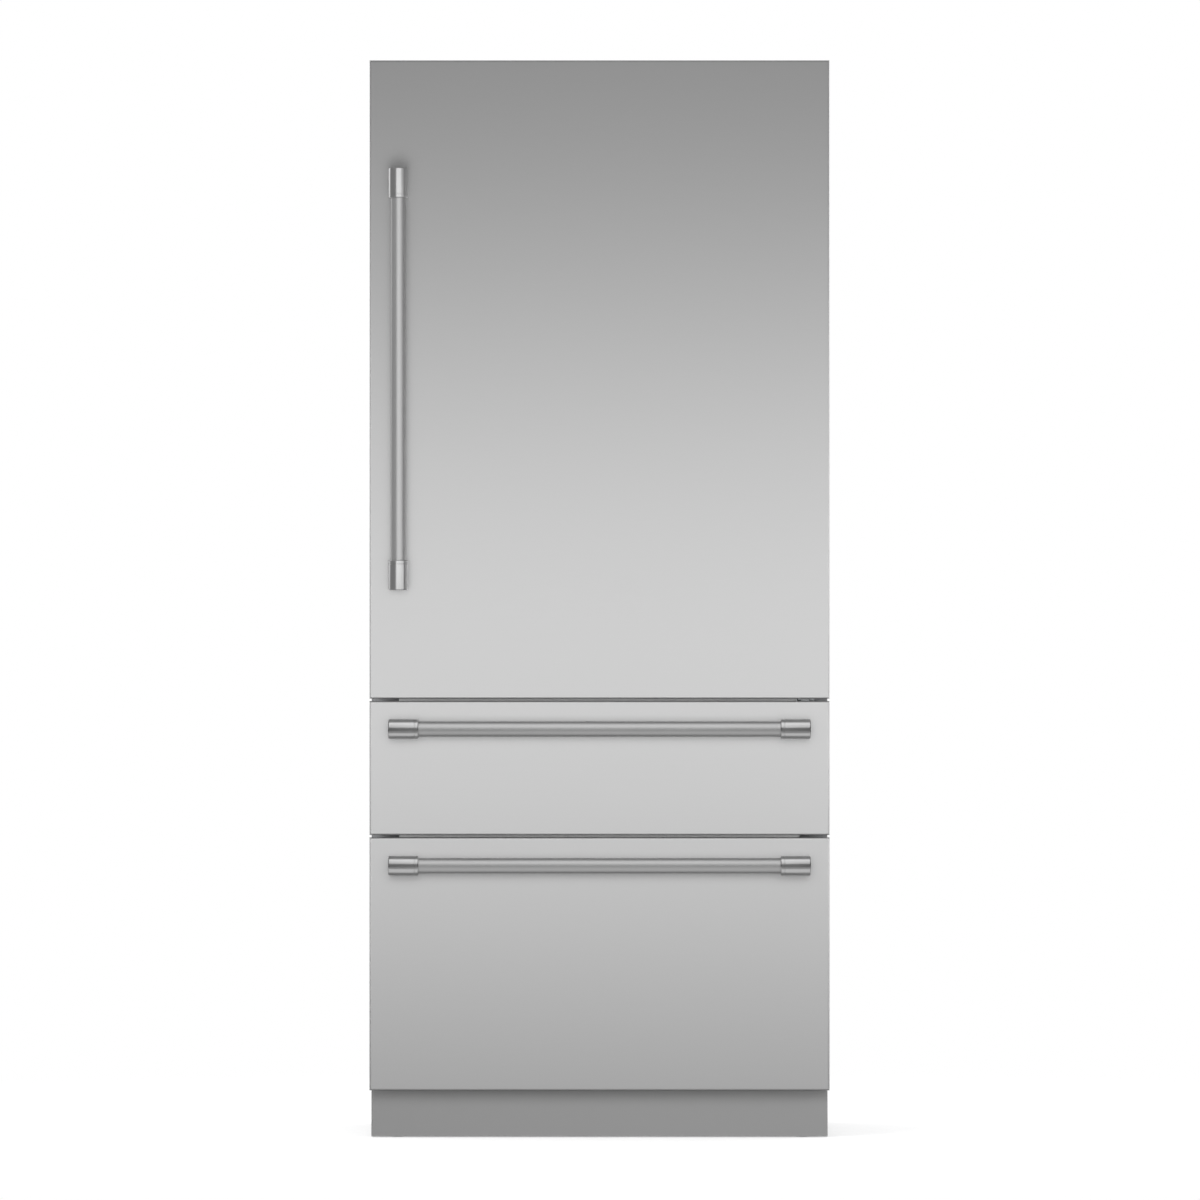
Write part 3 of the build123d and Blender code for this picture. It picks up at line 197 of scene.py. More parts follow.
def copy_of(node, edge=0, segments=2):
    """Copy of a solid with its flat faces whole again and its sharp edges rounded."""
    bm = bmesh.new()
    bm.from_mesh(frame["nodes"][node].data)
    bmesh.ops.remove_doubles(bm, verts=bm.verts, dist=weld)
    bmesh.ops.dissolve_limit(bm, angle_limit=math.radians(1), verts=bm.verts, edges=bm.edges)
    if edge:
        round_off(bm, edge, segments)
    return bm


def object_of(name, bm, *finishes):
    """Object in the scene from a bmesh, which it frees."""
    mesh = bpy.data.meshes.new(name)
    bm.to_mesh(mesh)
    bm.free()
    for finish in finishes:
        mesh.materials.append(finish)
    made = bpy.data.objects.new(name, mesh)
    bpy.context.scene.collection.objects.link(made)
    return made


def piece(name, bm, finishes, body, slot, *nodes, sharp=20):
    """Object from a bmesh, on its body, in place of the nodes it stands for."""
    for face in bm.faces:
        face.smooth = True
    for edge in bm.edges:
        turn = edge.calc_face_angle(0)
        areas = sorted(face.calc_area() for face in edge.link_faces)
        beside_flat = turn > flat_turn and areas[-1] > flat_ratio * areas[0]
        edge.smooth = turn < math.radians(sharp) and not beside_flat
    made = object_of(name, bm, *(finishes if isinstance(finishes, list) else [finishes]))
    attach(made, body)
    if nodes:
        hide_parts(*nodes)
    return made


def copied(name, node, finish, body, slot, edge=0, segments=2, sharp=20):
    """Piece that is a copy of one solid, with its sharp edges rounded."""
    piece(name, copy_of(node, edge, segments), finish, body, slot, node, sharp=sharp)


paint_effect = noise_effect("sprayed_paint", (3, 3), (420, 2))
shell_paint = finish_of(
    "satin_grey_paint", (0.30, 0.30, 0.31), 0.42, paint_effect, tone=0.04, rough=0.05, bump=0.00006,
    sockets={"Coat Weight": 0.12, "Coat Roughness": 0.2},
)
copied("shell_wrapper", "outer_shell", shell_paint, "cabinet", "painted_shell", edge=0.0004)


# The rear panel is bare galvanised sheet, pressed with shallow stiffening beads. It closes the
# back of the foam and folds forward over the machine room.
def zinc_spangle(nodes, links, vector):
    """Zinc crystals, each with its own tone."""
    cells = set_inputs(nodes.new("ShaderNodeTexVoronoi"), {"Scale": 55})
    links.new(vector, cells.inputs["Vector"])
    grey = nodes.new("ShaderNodeRGBToBW")
    links.new(cells.outputs["Color"], grey.inputs["Color"])
    return grey.outputs["Val"], noise(nodes, links, vector, 260, 2)


bare_metal = {"Metallic": 1.0}
spangle_effect = effect("zinc_spangle", zinc_spangle)
galvanised = finish_of(
    "galvanised_sheet", (0.52, 0.53, 0.54), 0.42, spangle_effect, tone=0.09, rough=0.08, bump=0.00004,
    sockets=bare_metal,
)
sheet_skin = 0.001
facing_rear = 0.9
bead_depth = 0.0022
bead_margin = 0.045
bead_width = 0.028
bead_slope = 0.009
bead_rows = 3
bead_columns = 2
rear_low, rear_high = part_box("rear_panel")


def outer_faces(bm):
    """The upright outer face of the rear panel, whole or in parts."""
    edge_y = rear_high.y - sheet_skin
    return [f for f in bm.faces if f.normal.y > facing_rear and f.calc_center_median().y > edge_y]


def cut_outer(bm, point, direction):
    """Cuts the outer face of the rear panel along a plane."""
    faces = outer_faces(bm)
    parts = set(faces) | {e for f in faces for e in f.edges} | {v for f in faces for v in f.verts}
    bmesh.ops.bisect_plane(bm, geom=list(parts), plane_co=point, plane_no=direction)


bm = copy_of("rear_panel")
outer_bottom = min(v.co.z for f in outer_faces(bm) for v in f.verts)
for row in range(1, bead_rows):
    level = outer_bottom + (rear_high.z - outer_bottom) * row / bead_rows
    cut_outer(bm, (0, 0, level), (0, 0, 1))
for column in range(1, bead_columns):
    cut_outer(bm, (rear_low.x + (rear_high.x - rear_low.x) * column / bead_columns, 0, 0), (1, 0, 0))
cells = outer_faces(bm)
for inset, depth in ((bead_margin, 0), (bead_slope, -bead_depth), (bead_width, 0), (bead_slope, bead_depth)):
    bmesh.ops.inset_individual(bm, faces=cells, thickness=inset, depth=depth, use_even_offset=True)
piece("back_sheet", bm, galvanised, "cabinet", "galvanised_sheet", "rear_panel", sharp=8)

# Foam is injected between the shell and the liners and sets to a stiff cream mass. Behind the
# beads of the rear panel it ends a little further in.
foam_effect = noise_effect("foam_cells", (40, 4), (700, 3))
foam = finish_of("rigid_foam", (0.80, 0.70, 0.45), 0.85, foam_effect, tone=0.1, rough=0.1, bump=0.0004)
foam_setback = 0.004
bm = copy_of("cabinet_insulation")
for vert in bm.verts:
    if vert.co.y > rear_high.y - 2 * sheet_skin:
        vert.co.y -= foam_setback
piece("cabinet_foam", bm, foam, "cabinet", "foam", "cabinet_insulation")


# The liners are vacuum-formed from white polystyrene sheet, so their inner corners are drawn
# round and their skin has a soft gloss.
def moulded_skin(nodes, links, vector):
    """Moulded plastic: a faint ripple and a very fine grain."""
    ripple = noise(nodes, links, vector, 14, 2)
    grain = noise(nodes, links, vector, 900, 2)
    return ripple, value_mix(nodes, links, ripple, grain, 0.25)


moulded_effect = effect("moulded_skin", moulded_skin)
liner_white = finish_of(
    "white_liner", (0.83, 0.84, 0.84), 0.28, moulded_effect, tone=0.01, rough=0.03,
    scale=(0.15, 0.15, 0.15), sockets={"Coat Weight": 0.1, "Coat Roughness": 0.15},
)
liner_wall = 0.002
liner_corner = 0.007
liner_lip = 0.0006
liner_front = 0.01
corner_length = 0.2
corner_angle = 60
for node, name in (("fridge_liner", "fridge_tub"), ("freezer_liner", "freezer_tub")):
    low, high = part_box(node)

    def drawn_corner(edge):
        """True for a long concave corner inside the tub, away from its open front."""
        middle = (edge.verts[0].co + edge.verts[1].co) / 2
        inside = low.x + liner_wall / 2 < middle.x < high.x - liner_wall / 2
        inside = inside and low.y + liner_front < middle.y < high.y - liner_wall / 2
        return inside and not edge.is_convex and edge.calc_length() > corner_length

    bm = copy_of(node)
    round_off(bm, liner_corner, 5, corner_angle, drawn_corner)
    round_off(bm, liner_lip, 2, corner_angle, lambda edge: edge.is_convex)
    piece(name, bm, liner_white, "cabinet", "white_liner", node)

# The cross rails are bent from coated sheet: one under the door's seal, one between the drawers
# and one at the floor of the freezer. The liners are clipped over them.
rail_paint = finish_of(
    "pale_rail_paint", (0.84, 0.84, 0.84), 0.4, paint_effect, tone=0.02, rough=0.05, bump=0.00005,
)
copied("cross_rails", "front_cross_rails", rail_paint, "cabinet", "painted_flange", edge=0.0006)

# The base frame is galvanised channel and tray under the cabinet, with bosses for the levelling
# feet and forks for the rollers.
copied("base_channels", "base_frame", galvanised, "cabinet", "galvanised_sheet", edge=0.0005)


# The levelling feet are threaded zinc-plated studs on black moulded pads. They screw into the
# bosses of the base frame.
def turned(outline, place, steps):
    """Solid of revolution: an outline of radius and height, spun about the z axis of a place."""
    bm = bmesh.new()
    verts = [bm.verts.new((radius, 0, height)) for radius, height in outline]
    edges = [bm.edges.new(pair) for pair in zip(verts, verts[1:])]
    bmesh.ops.spin(
        bm, geom=verts + edges, cent=(0, 0, 0), axis=(0, 0, 1), angle=2 * math.pi, steps=steps,
        use_merge=True,
    )
    bmesh.ops.remove_doubles(bm, verts=bm.verts, dist=weld)
    bmesh.ops.recalc_face_normals(bm, faces=bm.faces)
    bmesh.ops.transform(bm, matrix=place, verts=bm.verts)
    return bm


def join(target, source):
    """Adds one bmesh to another and frees it."""
    mesh = bpy.data.meshes.new("join")
    source.to_mesh(mesh)
    source.free()
    target.from_mesh(mesh)
    bpy.data.meshes.remove(mesh)


grained_effect = noise_effect("grained_skin", (9, 2), (1100, 4))
black_plastic = finish_of(
    "black_moulding", (0.028, 0.028, 0.030), 0.48, grained_effect, tone=0.12, rough=0.07, bump=0.00008,
)
zinc_plate = finish_of(
    "zinc_plate", (0.60, 0.61, 0.62), 0.30, spangle_effect, tone=0.04, rough=0.05, bump=0.00002,
    scale=(0.4, 0.4, 0.4), sockets=bare_metal,
)
feet_low, feet_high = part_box("front_feet")
pad_radius = (feet_high.y - feet_low.y) / 2
pad_height = 0.010
stem_radius = 0.006
thread_depth = 0.0007
thread_pitch = 0.0015
foot_y = (feet_low.y + feet_high.y) / 2
outline = [
    (0, 0.0012), (pad_radius - 0.006, 0.0012), (pad_radius - 0.005, 0), (pad_radius - 0.001, 0),
    (pad_radius, 0.001), (pad_radius, 0.0045), (pad_radius - 0.0015, 0.0065), (0.011, 0.0085),
    (0.010, pad_height), (stem_radius, pad_height),
]
turns = int((feet_high.z - pad_height) / thread_pitch) - 1
for turn in range(turns):
    level = pad_height + turn * thread_pitch
    outline.append((stem_radius, level + thread_pitch / 2))
    outline.append((stem_radius - thread_depth, level + thread_pitch))
outline += [(stem_radius - thread_depth, feet_high.z), (0, feet_high.z)]
bm = bmesh.new()
for x in (feet_low.x + pad_radius, feet_high.x - pad_radius):
    join(bm, turned(outline, Matrix.Translation((x, foot_y, 0)), 32))
for face in bm.faces:
    face.material_index = int(face.calc_center_median().z > pad_height)
piece("levelling_feet", bm, [black_plastic, zinc_plate], "cabinet", "foot_plastic", "front_feet", sharp=40)


# The rear rollers are black moulded wheels with two treads and dished sides. They turn on the
# axles of the base frame's forks.
def facing(point, direction):
    """Place at a point with its z axis along a direction."""
    return Matrix.Translation(point) @ Vector(direction).to_track_quat("Z", "Y").to_matrix().to_4x4()


roller_low, roller_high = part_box("rear_rollers")
tread = (roller_high.z - roller_low.z) / 2
roller_width = 0.016
roller_bore = 0.00405
roller_y = (roller_low.y + roller_high.y) / 2
half_wheel = [
    (roller_bore, 0), (0.009, 0), (0.0095, 0.002), (0.015, 0.0035), (0.0165, 0.0008),
    (tread - 0.0015, 0), (tread, 0.0015), (tread, 0.0055), (tread - 0.001, 0.0065),
]
far_half = [(radius, roller_width - level) for radius, level in reversed(half_wheel)]
outline = half_wheel + far_half + half_wheel[:1]
bm = bmesh.new()
for x in (roller_low.x, roller_high.x - roller_width):
    join(bm, turned(outline, facing((x, roller_y, tread), (1, 0, 0)), 48))
piece("transport_rollers", bm, black_plastic, "rear_rollers", "roller_plastic", "rear_rollers")


# The toe kick is a bent sheet of brushed stainless steel like the fronts, but rougher, and its colour
# is painted darker as shade under the lower drawer. It is screwed to the front channel and closes
# the space under the lower drawer.
def brushed_grain(nodes, links, vector):
    """Brushed sheet: long fine scratches, drawn out along one axis by the mapping."""
    scratch = noise(nodes, links, vector, 1, 5, 0.7)
    fine = noise(nodes, links, vector, 3.1, 3, 0.6)
    both = value_mix(nodes, links, scratch, fine, 0.5)
    return both, both


def brushed_metal(share):
    """Sockets of a metal whose reflections are drawn out across its grain by a share."""
    return {"Metallic": 1.0, "Anisotropic": share, "Anisotropic Rotation": 0.25}


brushed_effect = effect("brushed_grain", brushed_grain)
grain_long = 6.0
grain_fine = 1500.0
sheet_grain = {
    "tone": 0.03, "rough": 0.02, "bump": 0.000004, "scale": (grain_long, grain_fine, grain_fine),
    "tangent": "Z",
}
stainless = finish_of(
    "brushed_stainless", (0.63, 0.63, 0.63), 0.36, brushed_effect, sockets=brushed_metal(0.6),
    **sheet_grain,
)
# A copy of the front steel with a darker base colour: painted shade for the toe kick under the lower drawer,
# and a higher roughness.
rough_stainless_painted_shade = finish_of(
    "rough_stainless_painted_shade", (0.55, 0.55, 0.55), 0.55, brushed_effect, sockets=brushed_metal(0.4), **sheet_grain,
)
copied("toe_kick", "toe_kick_panel", rough_stainless_painted_shade, "cabinet", "stainless")

# The machine cover is a flat galvanised plate, screwed over the machine room. Each air slot has
# a pressed hood that sheds dust.
louvre_columns = 5
louvre_rows = 10
louvre_length = 0.090
louvre_height = 0.005
louvre_pitch = 0.014
louvre_z = 0.135
hood_reach = 0.0034
hood_steel = 0.0006
hood_rim = 0.0012
machine_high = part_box("machine_cover")[1]
bm = copy_of("machine_cover")
for column in range(louvre_columns):
    for row in range(louvre_rows):
        x = (column - (louvre_columns - 1) / 2) * (louvre_length + louvre_pitch)
        z = louvre_z + (row - (louvre_rows - 1) / 2) * louvre_pitch
        hood = bmesh.new()
        grid = bmesh.ops.create_grid(hood, x_segments=16, y_segments=5, size=0.5)["verts"]
        for vert in grid:
            across, up = vert.co.x, vert.co.y + 0.5
            ends = math.sqrt(max(0.0, 1 - abs(2 * across) ** 8))
            reach = hood_reach * ends * math.cos(up * math.pi / 2)
            rise = (louvre_height / 2 + hood_rim) * (2 * up - 1)
            vert.co = Vector((x + across * (louvre_length + hood_rim), machine_high.y + reach, z + rise))
        bmesh.ops.recalc_face_normals(hood, faces=hood.faces)
        bmesh.ops.solidify(hood, geom=hood.faces[:], thickness=hood_steel)
        join(bm, hood)
piece("louvred_cover", bm, galvanised, "cabinet", "galvanised_sheet", "machine_cover")

# The power inlet is a black moulded socket that clips into the machine cover from inside. Its
# three blades are brass.
drawn_effect = noise_effect("drawn_metal", (20, 3), (300, 2))
brass = finish_of(
    "brass_blade", (0.75, 0.55, 0.25), 0.28, drawn_effect, tone=0.04, rough=0.05,
    sockets=bare_metal,
)
inlet_low, inlet_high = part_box("power_inlet")
inlet_middle = (inlet_low + inlet_high) / 2
blade_reach_x = 0.009
blade_reach_z = 0.0035
blade_rear = 0.011
bm = copy_of("power_inlet", 0.0003)
for face in bm.faces:
    spread = [vert.co - inlet_middle for vert in face.verts]
    on_blade = all(abs(off.x) < blade_reach_x and abs(off.z) < blade_reach_z for off in spread)
    shallow = face.calc_center_median().y > inlet_low.y + blade_rear
    face.material_index = int(on_blade and shallow)
piece("inlet_socket", bm, [black_plastic, brass], "cabinet", "black_plastic", "power_inlet")

# The compressor is a drawn steel pot in two halves with a welded rim, enamelled black, on a foot
# plate. Its tubes leave from brazed stubs.
enamel_effect = noise_effect("enamel_coat", (12, 3), (160, 2))
black_enamel = finish_of(
    "black_enamel", (0.018, 0.018, 0.020), 0.22, enamel_effect, tone=0.2, rough=0.06, bump=0.00025,
    sockets={"Coat Weight": 0.3, "Coat Roughness": 0.08},
)
pot_x = 0.230
pot_y = 0.24275
pot_radii = (0.070, 0.056)
seam_height = 0.150
seam = turned(
    [(0.99, -0.003), (1.035, -0.0025), (1.05, -0.001), (1.05, 0.001), (1.035, 0.0025), (0.99, 0.003)],
    Matrix.Translation((0, 0, seam_height)), 72,
)
for vert in seam.verts:
    vert.co.x = pot_x + vert.co.x * pot_radii[0]
    vert.co.y = pot_y + vert.co.y * pot_radii[1]
bm = copy_of("compressor", 0.0008)
join(bm, seam)
piece("compressor_pot", bm, black_enamel, "cabinet", "black_enamel", "compressor")

# Four waisted rubber grommets carry the compressor's foot plate on the base tray. Their stems
# stand through the plate.
rubber_effect = noise_effect("rubber_skin", (30, 3), (500, 3))
black_rubber = finish_of(
    "black_rubber", (0.03, 0.03, 0.03), 0.7, rubber_effect, tone=0.15, rough=0.1, bump=0.0001,
)
mount_low, mount_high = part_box("rubber_mounts")
mount_radius = 0.013
mount_height = 0.018
mount_stem = 0.0057
mount_top = mount_high.z - mount_low.z
outline = [
    (0, 0), (mount_radius - 0.001, 0), (mount_radius, 0.001), (mount_radius, 0.004), (0.0101, 0.0065),
    (0.0096, 0.009), (0.0101, 0.0115), (mount_radius, 0.014), (mount_radius, mount_height),
    (mount_stem, mount_height), (mount_stem, mount_top - 0.001), (mount_stem - 0.001, mount_top),
    (0, mount_top),
]
bm = bmesh.new()
for x in (mount_low.x + mount_radius, mount_high.x - mount_radius):
    for y in (mount_low.y + mount_radius, mount_high.y - mount_radius):
        join(bm, turned(outline, Matrix.Translation((x, y, mount_low.z)), 28))
piece("grommets", bm, black_rubber, "cabinet", "rubber", "rubber_mounts")


# The condenser is a block of thin aluminium fins on steel tubes between two flanged end plates
# that stand on the tray.
def box(bm, low, high):
    """Block between two corners."""
    middle = (Vector(low) + Vector(high)) / 2
    size = Vector(high) - Vector(low)
    bmesh.ops.create_cube(bm, size=1, matrix=Matrix.Translation(middle) @ Matrix.Diagonal((*size, 1)))


fin_metal = finish_of(
    "bare_aluminium", (0.70, 0.71, 0.72), 0.35, drawn_effect, tone=0.06, rough=0.08, bump=0.00003,
    sockets=bare_metal,
)
coil_low, coil_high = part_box("condenser_coil")
condenser_pitch = 0.009
condenser_floor = 0.092
condenser_top = 0.242
thin_fin = 0.0003
fins_between = 3
bm = copy_of("condenser_coil")
for row in range(int((coil_high.y - coil_low.y) / condenser_pitch) - 2):
    for step in range(1, fins_between):
        y = coil_low.y + (row + 1 + step / fins_between) * condenser_pitch
        box(bm, (coil_low.x, y, condenser_floor), (coil_high.x, y + thin_fin, condenser_top))
piece("condenser_block", bm, fin_metal, "cabinet", "coil_metal", "condenser_coil")

# The drain pan is a shallow tray of black moulded plastic. It lies under the condenser, whose
# warmth dries the melt water.
copied("drip_pan", "drain_pan", black_plastic, "cabinet", "black_plastic", edge=0.0005)

# The fan shroud is one black moulding: a wall with a collar round the blades, and a motor on
# struts behind them.
copied("shroud", "fan_shroud", black_plastic, "cabinet", "black_plastic", edge=0.0006)

# The condenser fan is a moulded rotor with five twisted blades. It is pressed on the motor's
# shaft and turns in the shroud's collar.
fan_hub = 0.018
hub_length = 0.016
fan_shaft = 0.00305
fan_blades = 5
blade_skin = 0.0016
root_twist = 24
lost_twist = 11
root_chord = 0.026
added_chord = 0.012
widest = 0.62
sweep = 0.1


def rotor(centre, axis, tip_radius):
    """Fan rotor: a capped hub with swept, twisted blades."""
    place = facing(centre, axis)
    half = hub_length / 2
    hub = turned([
        (fan_shaft, -half), (fan_hub - 0.0015, -half), (fan_hub, -half + 0.0015),
        (fan_hub, half - 0.003), (fan_hub - 0.003, half), (fan_shaft, half), (fan_shaft, -half),
    ], place, 40)
    for number in range(fan_blades):
        blade = bmesh.new()
        grid = bmesh.ops.create_grid(blade, x_segments=10, y_segments=8, size=0.5)["verts"]
        for vert in grid:
            out, chord = vert.co.x + 0.5, vert.co.y
            radius = fan_hub - 0.001 + out * (tip_radius - fan_hub)
            twist = math.radians(root_twist - lost_twist * out)
            width = root_chord + added_chord * math.sin(out * math.pi * widest)
            across = chord * width
            angle = across * math.cos(twist) / radius + sweep * out * out
            rise = across * math.sin(twist)
            vert.co = Vector((radius * math.cos(angle), radius * math.sin(angle), rise))
        bmesh.ops.recalc_face_normals(blade, faces=blade.faces)
        bmesh.ops.solidify(blade, geom=blade.faces[:], thickness=blade_skin)
        turn = Matrix.Rotation(2 * math.pi * number / fan_blades, 4, "Z")
        bmesh.ops.transform(blade, matrix=place @ turn, verts=blade.verts)
        join(hub, blade)
    return hub


shaft_y = 0.23775
shaft_z = 0.160
tip_radius = 0.057
fan_low, fan_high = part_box("condenser_fan")
fan = rotor(((fan_low.x + fan_high.x) / 2, shaft_y, shaft_z), (1, 0, 0), tip_radius)
piece("condenser_rotor", fan, black_plastic, "condenser_fan", "black_plastic", "condenser_fan")

# The refrigerant pipes are drawn copper, brazed to the compressor, the condenser and the filter
# drier. The suction line goes up into the foam.
copper = finish_of(
    "drawn_copper", (0.72, 0.38, 0.24), 0.27, drawn_effect, tone=0.12, rough=0.08, bump=0.00003,
    sockets=bare_metal,
)
copied("copper_pipes", "refrigerant_pipes", copper, "cabinet", "copper", sharp=35)

# The evaporator is a coil of tubes with wide aluminium fins. It stands off the freezer's rear
# wall on two end plates.
copied("evaporator_block", "evaporator_coil", fin_metal, "cabinet", "coil_metal")

# The duct covers are satin white mouldings, clipped to the rear walls: one hides the evaporator
# and holds its fan, and one carries cold air up the fridge.
satin_white = finish_of(
    "satin_white_moulding", (0.80, 0.81, 0.81), 0.36, moulded_effect, tone=0.01, rough=0.04,
    scale=(0.15, 0.15, 0.15),
)
copied("duct_mouldings", "duct_covers", satin_white, "cabinet", "white_liner", edge=0.0008)

# The evaporator fan is a moulded white rotor on its motor's shaft. It turns behind the guard of
# the freezer's duct cover.
shaft_z = 0.718
tip_radius = 0.047
fan_low, fan_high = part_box("evaporator_fan")
fan = rotor((0, (fan_low.y + fan_high.y) / 2, shaft_z), (0, 1, 0), tip_radius)
piece("evaporator_rotor", fan, satin_white, "evaporator_fan", "white_plastic", "evaporator_fan")

# The ladders are slotted steel channels, painted white and screwed to the rear wall. The shelf
# arms hook into them.
painted_white = finish_of(
    "white_painted_steel", (0.80, 0.80, 0.80), 0.35, paint_effect, tone=0.02, rough=0.04, bump=0.00005,
)
copied("ladders", "shelf_ladders", painted_white, "cabinet", "painted_steel", edge=0.0005)

# The shelves and the cover over the crispers are plates of tempered glass with ground edges. Each
# lies in a moulded frame.
glass = finish_of(
    "tempered_glass", (0.93, 0.97, 0.96), 0.03, moulded_effect, tone=0.01, rough=0.01,
    sockets={"Transmission Weight": 1.0, "IOR": 1.5},
)
copied("shelf_glass", "glass_shelves", glass, "cabinet", "clear_glass", edge=0.0006)

# The shelf frames are white mouldings round the glass, with a trim in front and two arms under
# each plate. The lowest frame rests on the liner.
copied("shelf_supports", "shelf_frames", satin_white, "cabinet", "white_plastic", edge=0.0006)

# The crispers are frosted moulded drawers that slide under the lowest shelf, each with a pull
# along its front.
frosted_plastic = finish_of(
    "frosted_moulding", (0.90, 0.93, 0.94), 0.3, moulded_effect, tone=0.01, rough=0.04,
    sockets={"Transmission Weight": 0.55, "IOR": 1.46},
)
for side in ("left", "right"):
    node = f"crisper_{side}"
    copied(f"{node}_tub", node, frosted_plastic, node, "clear_plastic", edge=0.0008)

# The control panel is a smoked gloss moulding under the ceiling. Two temperatures and a row of
# touch points glow through its slanted front.
smoked = finish_of(
    "smoked_panel", (0.03, 0.032, 0.036), 0.08, moulded_effect, tone=0.05, rough=0.02,
    sockets={"Coat Weight": 0.5, "Coat Roughness": 0.03},
)
display_light = finish_of(
    "display_light", (0.8, 0.9, 0.95), 0.4, moulded_effect, tone=0.01, rough=0.02,
    sockets={"Emission Color": (0.75, 0.9, 1.0, 1), "Emission Strength": 1.5},
)
copied("touch_panel", "control_panel", smoked, "cabinet", "panel_plastic", edge=0.0015, segments=3)
control_low, control_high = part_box("control_panel")
control_height = control_high.z - control_low.z
slant = Vector((0, -control_height / 2, control_height)).normalized()
slant_middle = Vector((0, control_low.y + control_height / 4, control_low.z + control_height / 2))
slant_normal = Vector((0, -control_height, -control_height / 2)).normalized()
display = Matrix((
    (1, 0, 0, slant_middle.x),
    (0, slant.y, slant_normal.y, slant_middle.y),
    (0, slant.z, slant_normal.z, slant_middle.z),
    (0, 0, 0, 1),
))
digit_width = 0.005
digit_height = 0.010
digit_gap = 0.003
stroke = 0.0012
bar_end = stroke * 0.6
glow_height = 0.0001
dot_radius = 0.0016
dot_pitch = 0.016
bars = {
    "a": (-1, 1, 1, 1), "b": (1, 0, 1, 1), "c": (1, -1, 1, 0), "d": (-1, -1, 1, -1), "e": (-1, -1, -1, 0),
    "f": (-1, 0, -1, 1), "g": (-1, 0, 1, 0),
}
digits = (("abcdg", -0.060), ("abc", -0.060 + digit_width + digit_gap), ("abcdef", 0.060))
bm = bmesh.new()
for lit_bars, x in digits:
    for bar in lit_bars:
        x0, z0, x1, z1 = bars[bar]
        grow_x, grow_z = (-bar_end, stroke / 2) if z0 == z1 else (stroke / 2, -bar_end)
        low = (x + x0 * digit_width / 2 - grow_x, z0 * digit_height / 2 - grow_z, 0)
        high = (x + x1 * digit_width / 2 + grow_x, z1 * digit_height / 2 + grow_z, glow_height)
        box(bm, low, high)
for place in range(-2, 3):
    outline = [(0, 0), (dot_radius, 0), (dot_radius, glow_height), (0, glow_height)]
    join(bm, turned(outline, Matrix.Translation((place * dot_pitch, 0, 0)), 20))
bmesh.ops.transform(bm, matrix=display, verts=bm.verts)
bmesh.ops.recalc_face_normals(bm, faces=bm.faces)
piece("display_marks", bm, display_light, "cabinet", "light_lens")

# The lamps are frosted lenses over rows of diodes: two upright in the side walls and one across
# the ceiling.
lens = finish_of(
    "frosted_lens", (0.95, 0.95, 0.93), 0.4, moulded_effect, tone=0.01, rough=0.02,
    sockets={"Emission Color": (1, 0.98, 0.94, 1), "Emission Strength": 1.0},
)
copied("lamp_lenses", "light_bars", lens, "cabinet", "light_lens", edge=0.0015, segments=3)

# The hinge brackets are zinc-plated steel arms that carry the door's pins: one on the top of the
# cabinet and one on the cross rail under the door.
copied("hinge_arms", "hinge_brackets", zinc_plate, "cabinet", "hinge_steel", edge=0.0006)


# Pan-head screws hold the hinge brackets and the machine cover. Each head is domed, with a
# six-sided drive recess.
def islands(bm):
    """The separate solids of a bmesh, each as a list of points."""
    left = set(bm.verts)
    while left:
        found = [left.pop()]
        for vert in found:
            near = {e.other_vert(vert) for e in vert.link_edges} & left
            left -= near
            found.extend(near)
        yield [vert.co.copy() for vert in found]


screw_head = 0.005
screw_rise = 0.0025
recess = 0.0022
recess_depth = 0.0016
shank = 0.0026
close = 0.0002
level_with = 1e-5
source = copy_of("screws")
bm = bmesh.new()
for points in islands(source):
    low = Vector([min(p[axis] for p in points) for axis in range(3)])
    high = Vector([max(p[axis] for p in points) for axis in range(3)])
    size = high - low
    axis = min(range(3), key=lambda n: abs(size[n] - 2 * screw_head) < close)
    wide_low = [p for p in points if abs(p[axis] - low[axis]) < level_with]
    spread = max(p[(axis + 1) % 3] for p in wide_low) - min(p[(axis + 1) % 3] for p in wide_low)
    head_low = spread > 1.5 * screw_head
    middle = (low + high) / 2
    middle[axis] = low[axis] if head_low else high[axis]
    outward = Vector([0, 0, 0])
    outward[axis] = -1 if head_low else 1
    grip = size[axis] - screw_rise
    join(bm, turned([
        (0, -recess_depth), (recess - 0.0002, -recess_depth), (recess, 0), (recess + 0.0003, 0.0),
        (0.0042, -0.0008), (screw_head, -0.0017), (screw_head, -screw_rise), (shank, -screw_rise),
        (shank, -screw_rise - grip), (0, -screw_rise - grip),
    ], facing(middle, outward), 36))
source.free()
piece("pan_screws", bm, zinc_plate, "cabinet", "hinge_steel", "screws", sharp=35)

# Each front is a sheet of stainless steel with folded edges. The folds turn in behind as a hem
# that clips over the white inner pan.
skin = 0.0012
fold = 0.003
fold_steps = 6
flat_rim = 0.0015
back_bend = 0.0012
hem_x = 0.012
body_hems = {"door": 0.018, "upper_drawer": 0.012, "lower_drawer": 0.012}


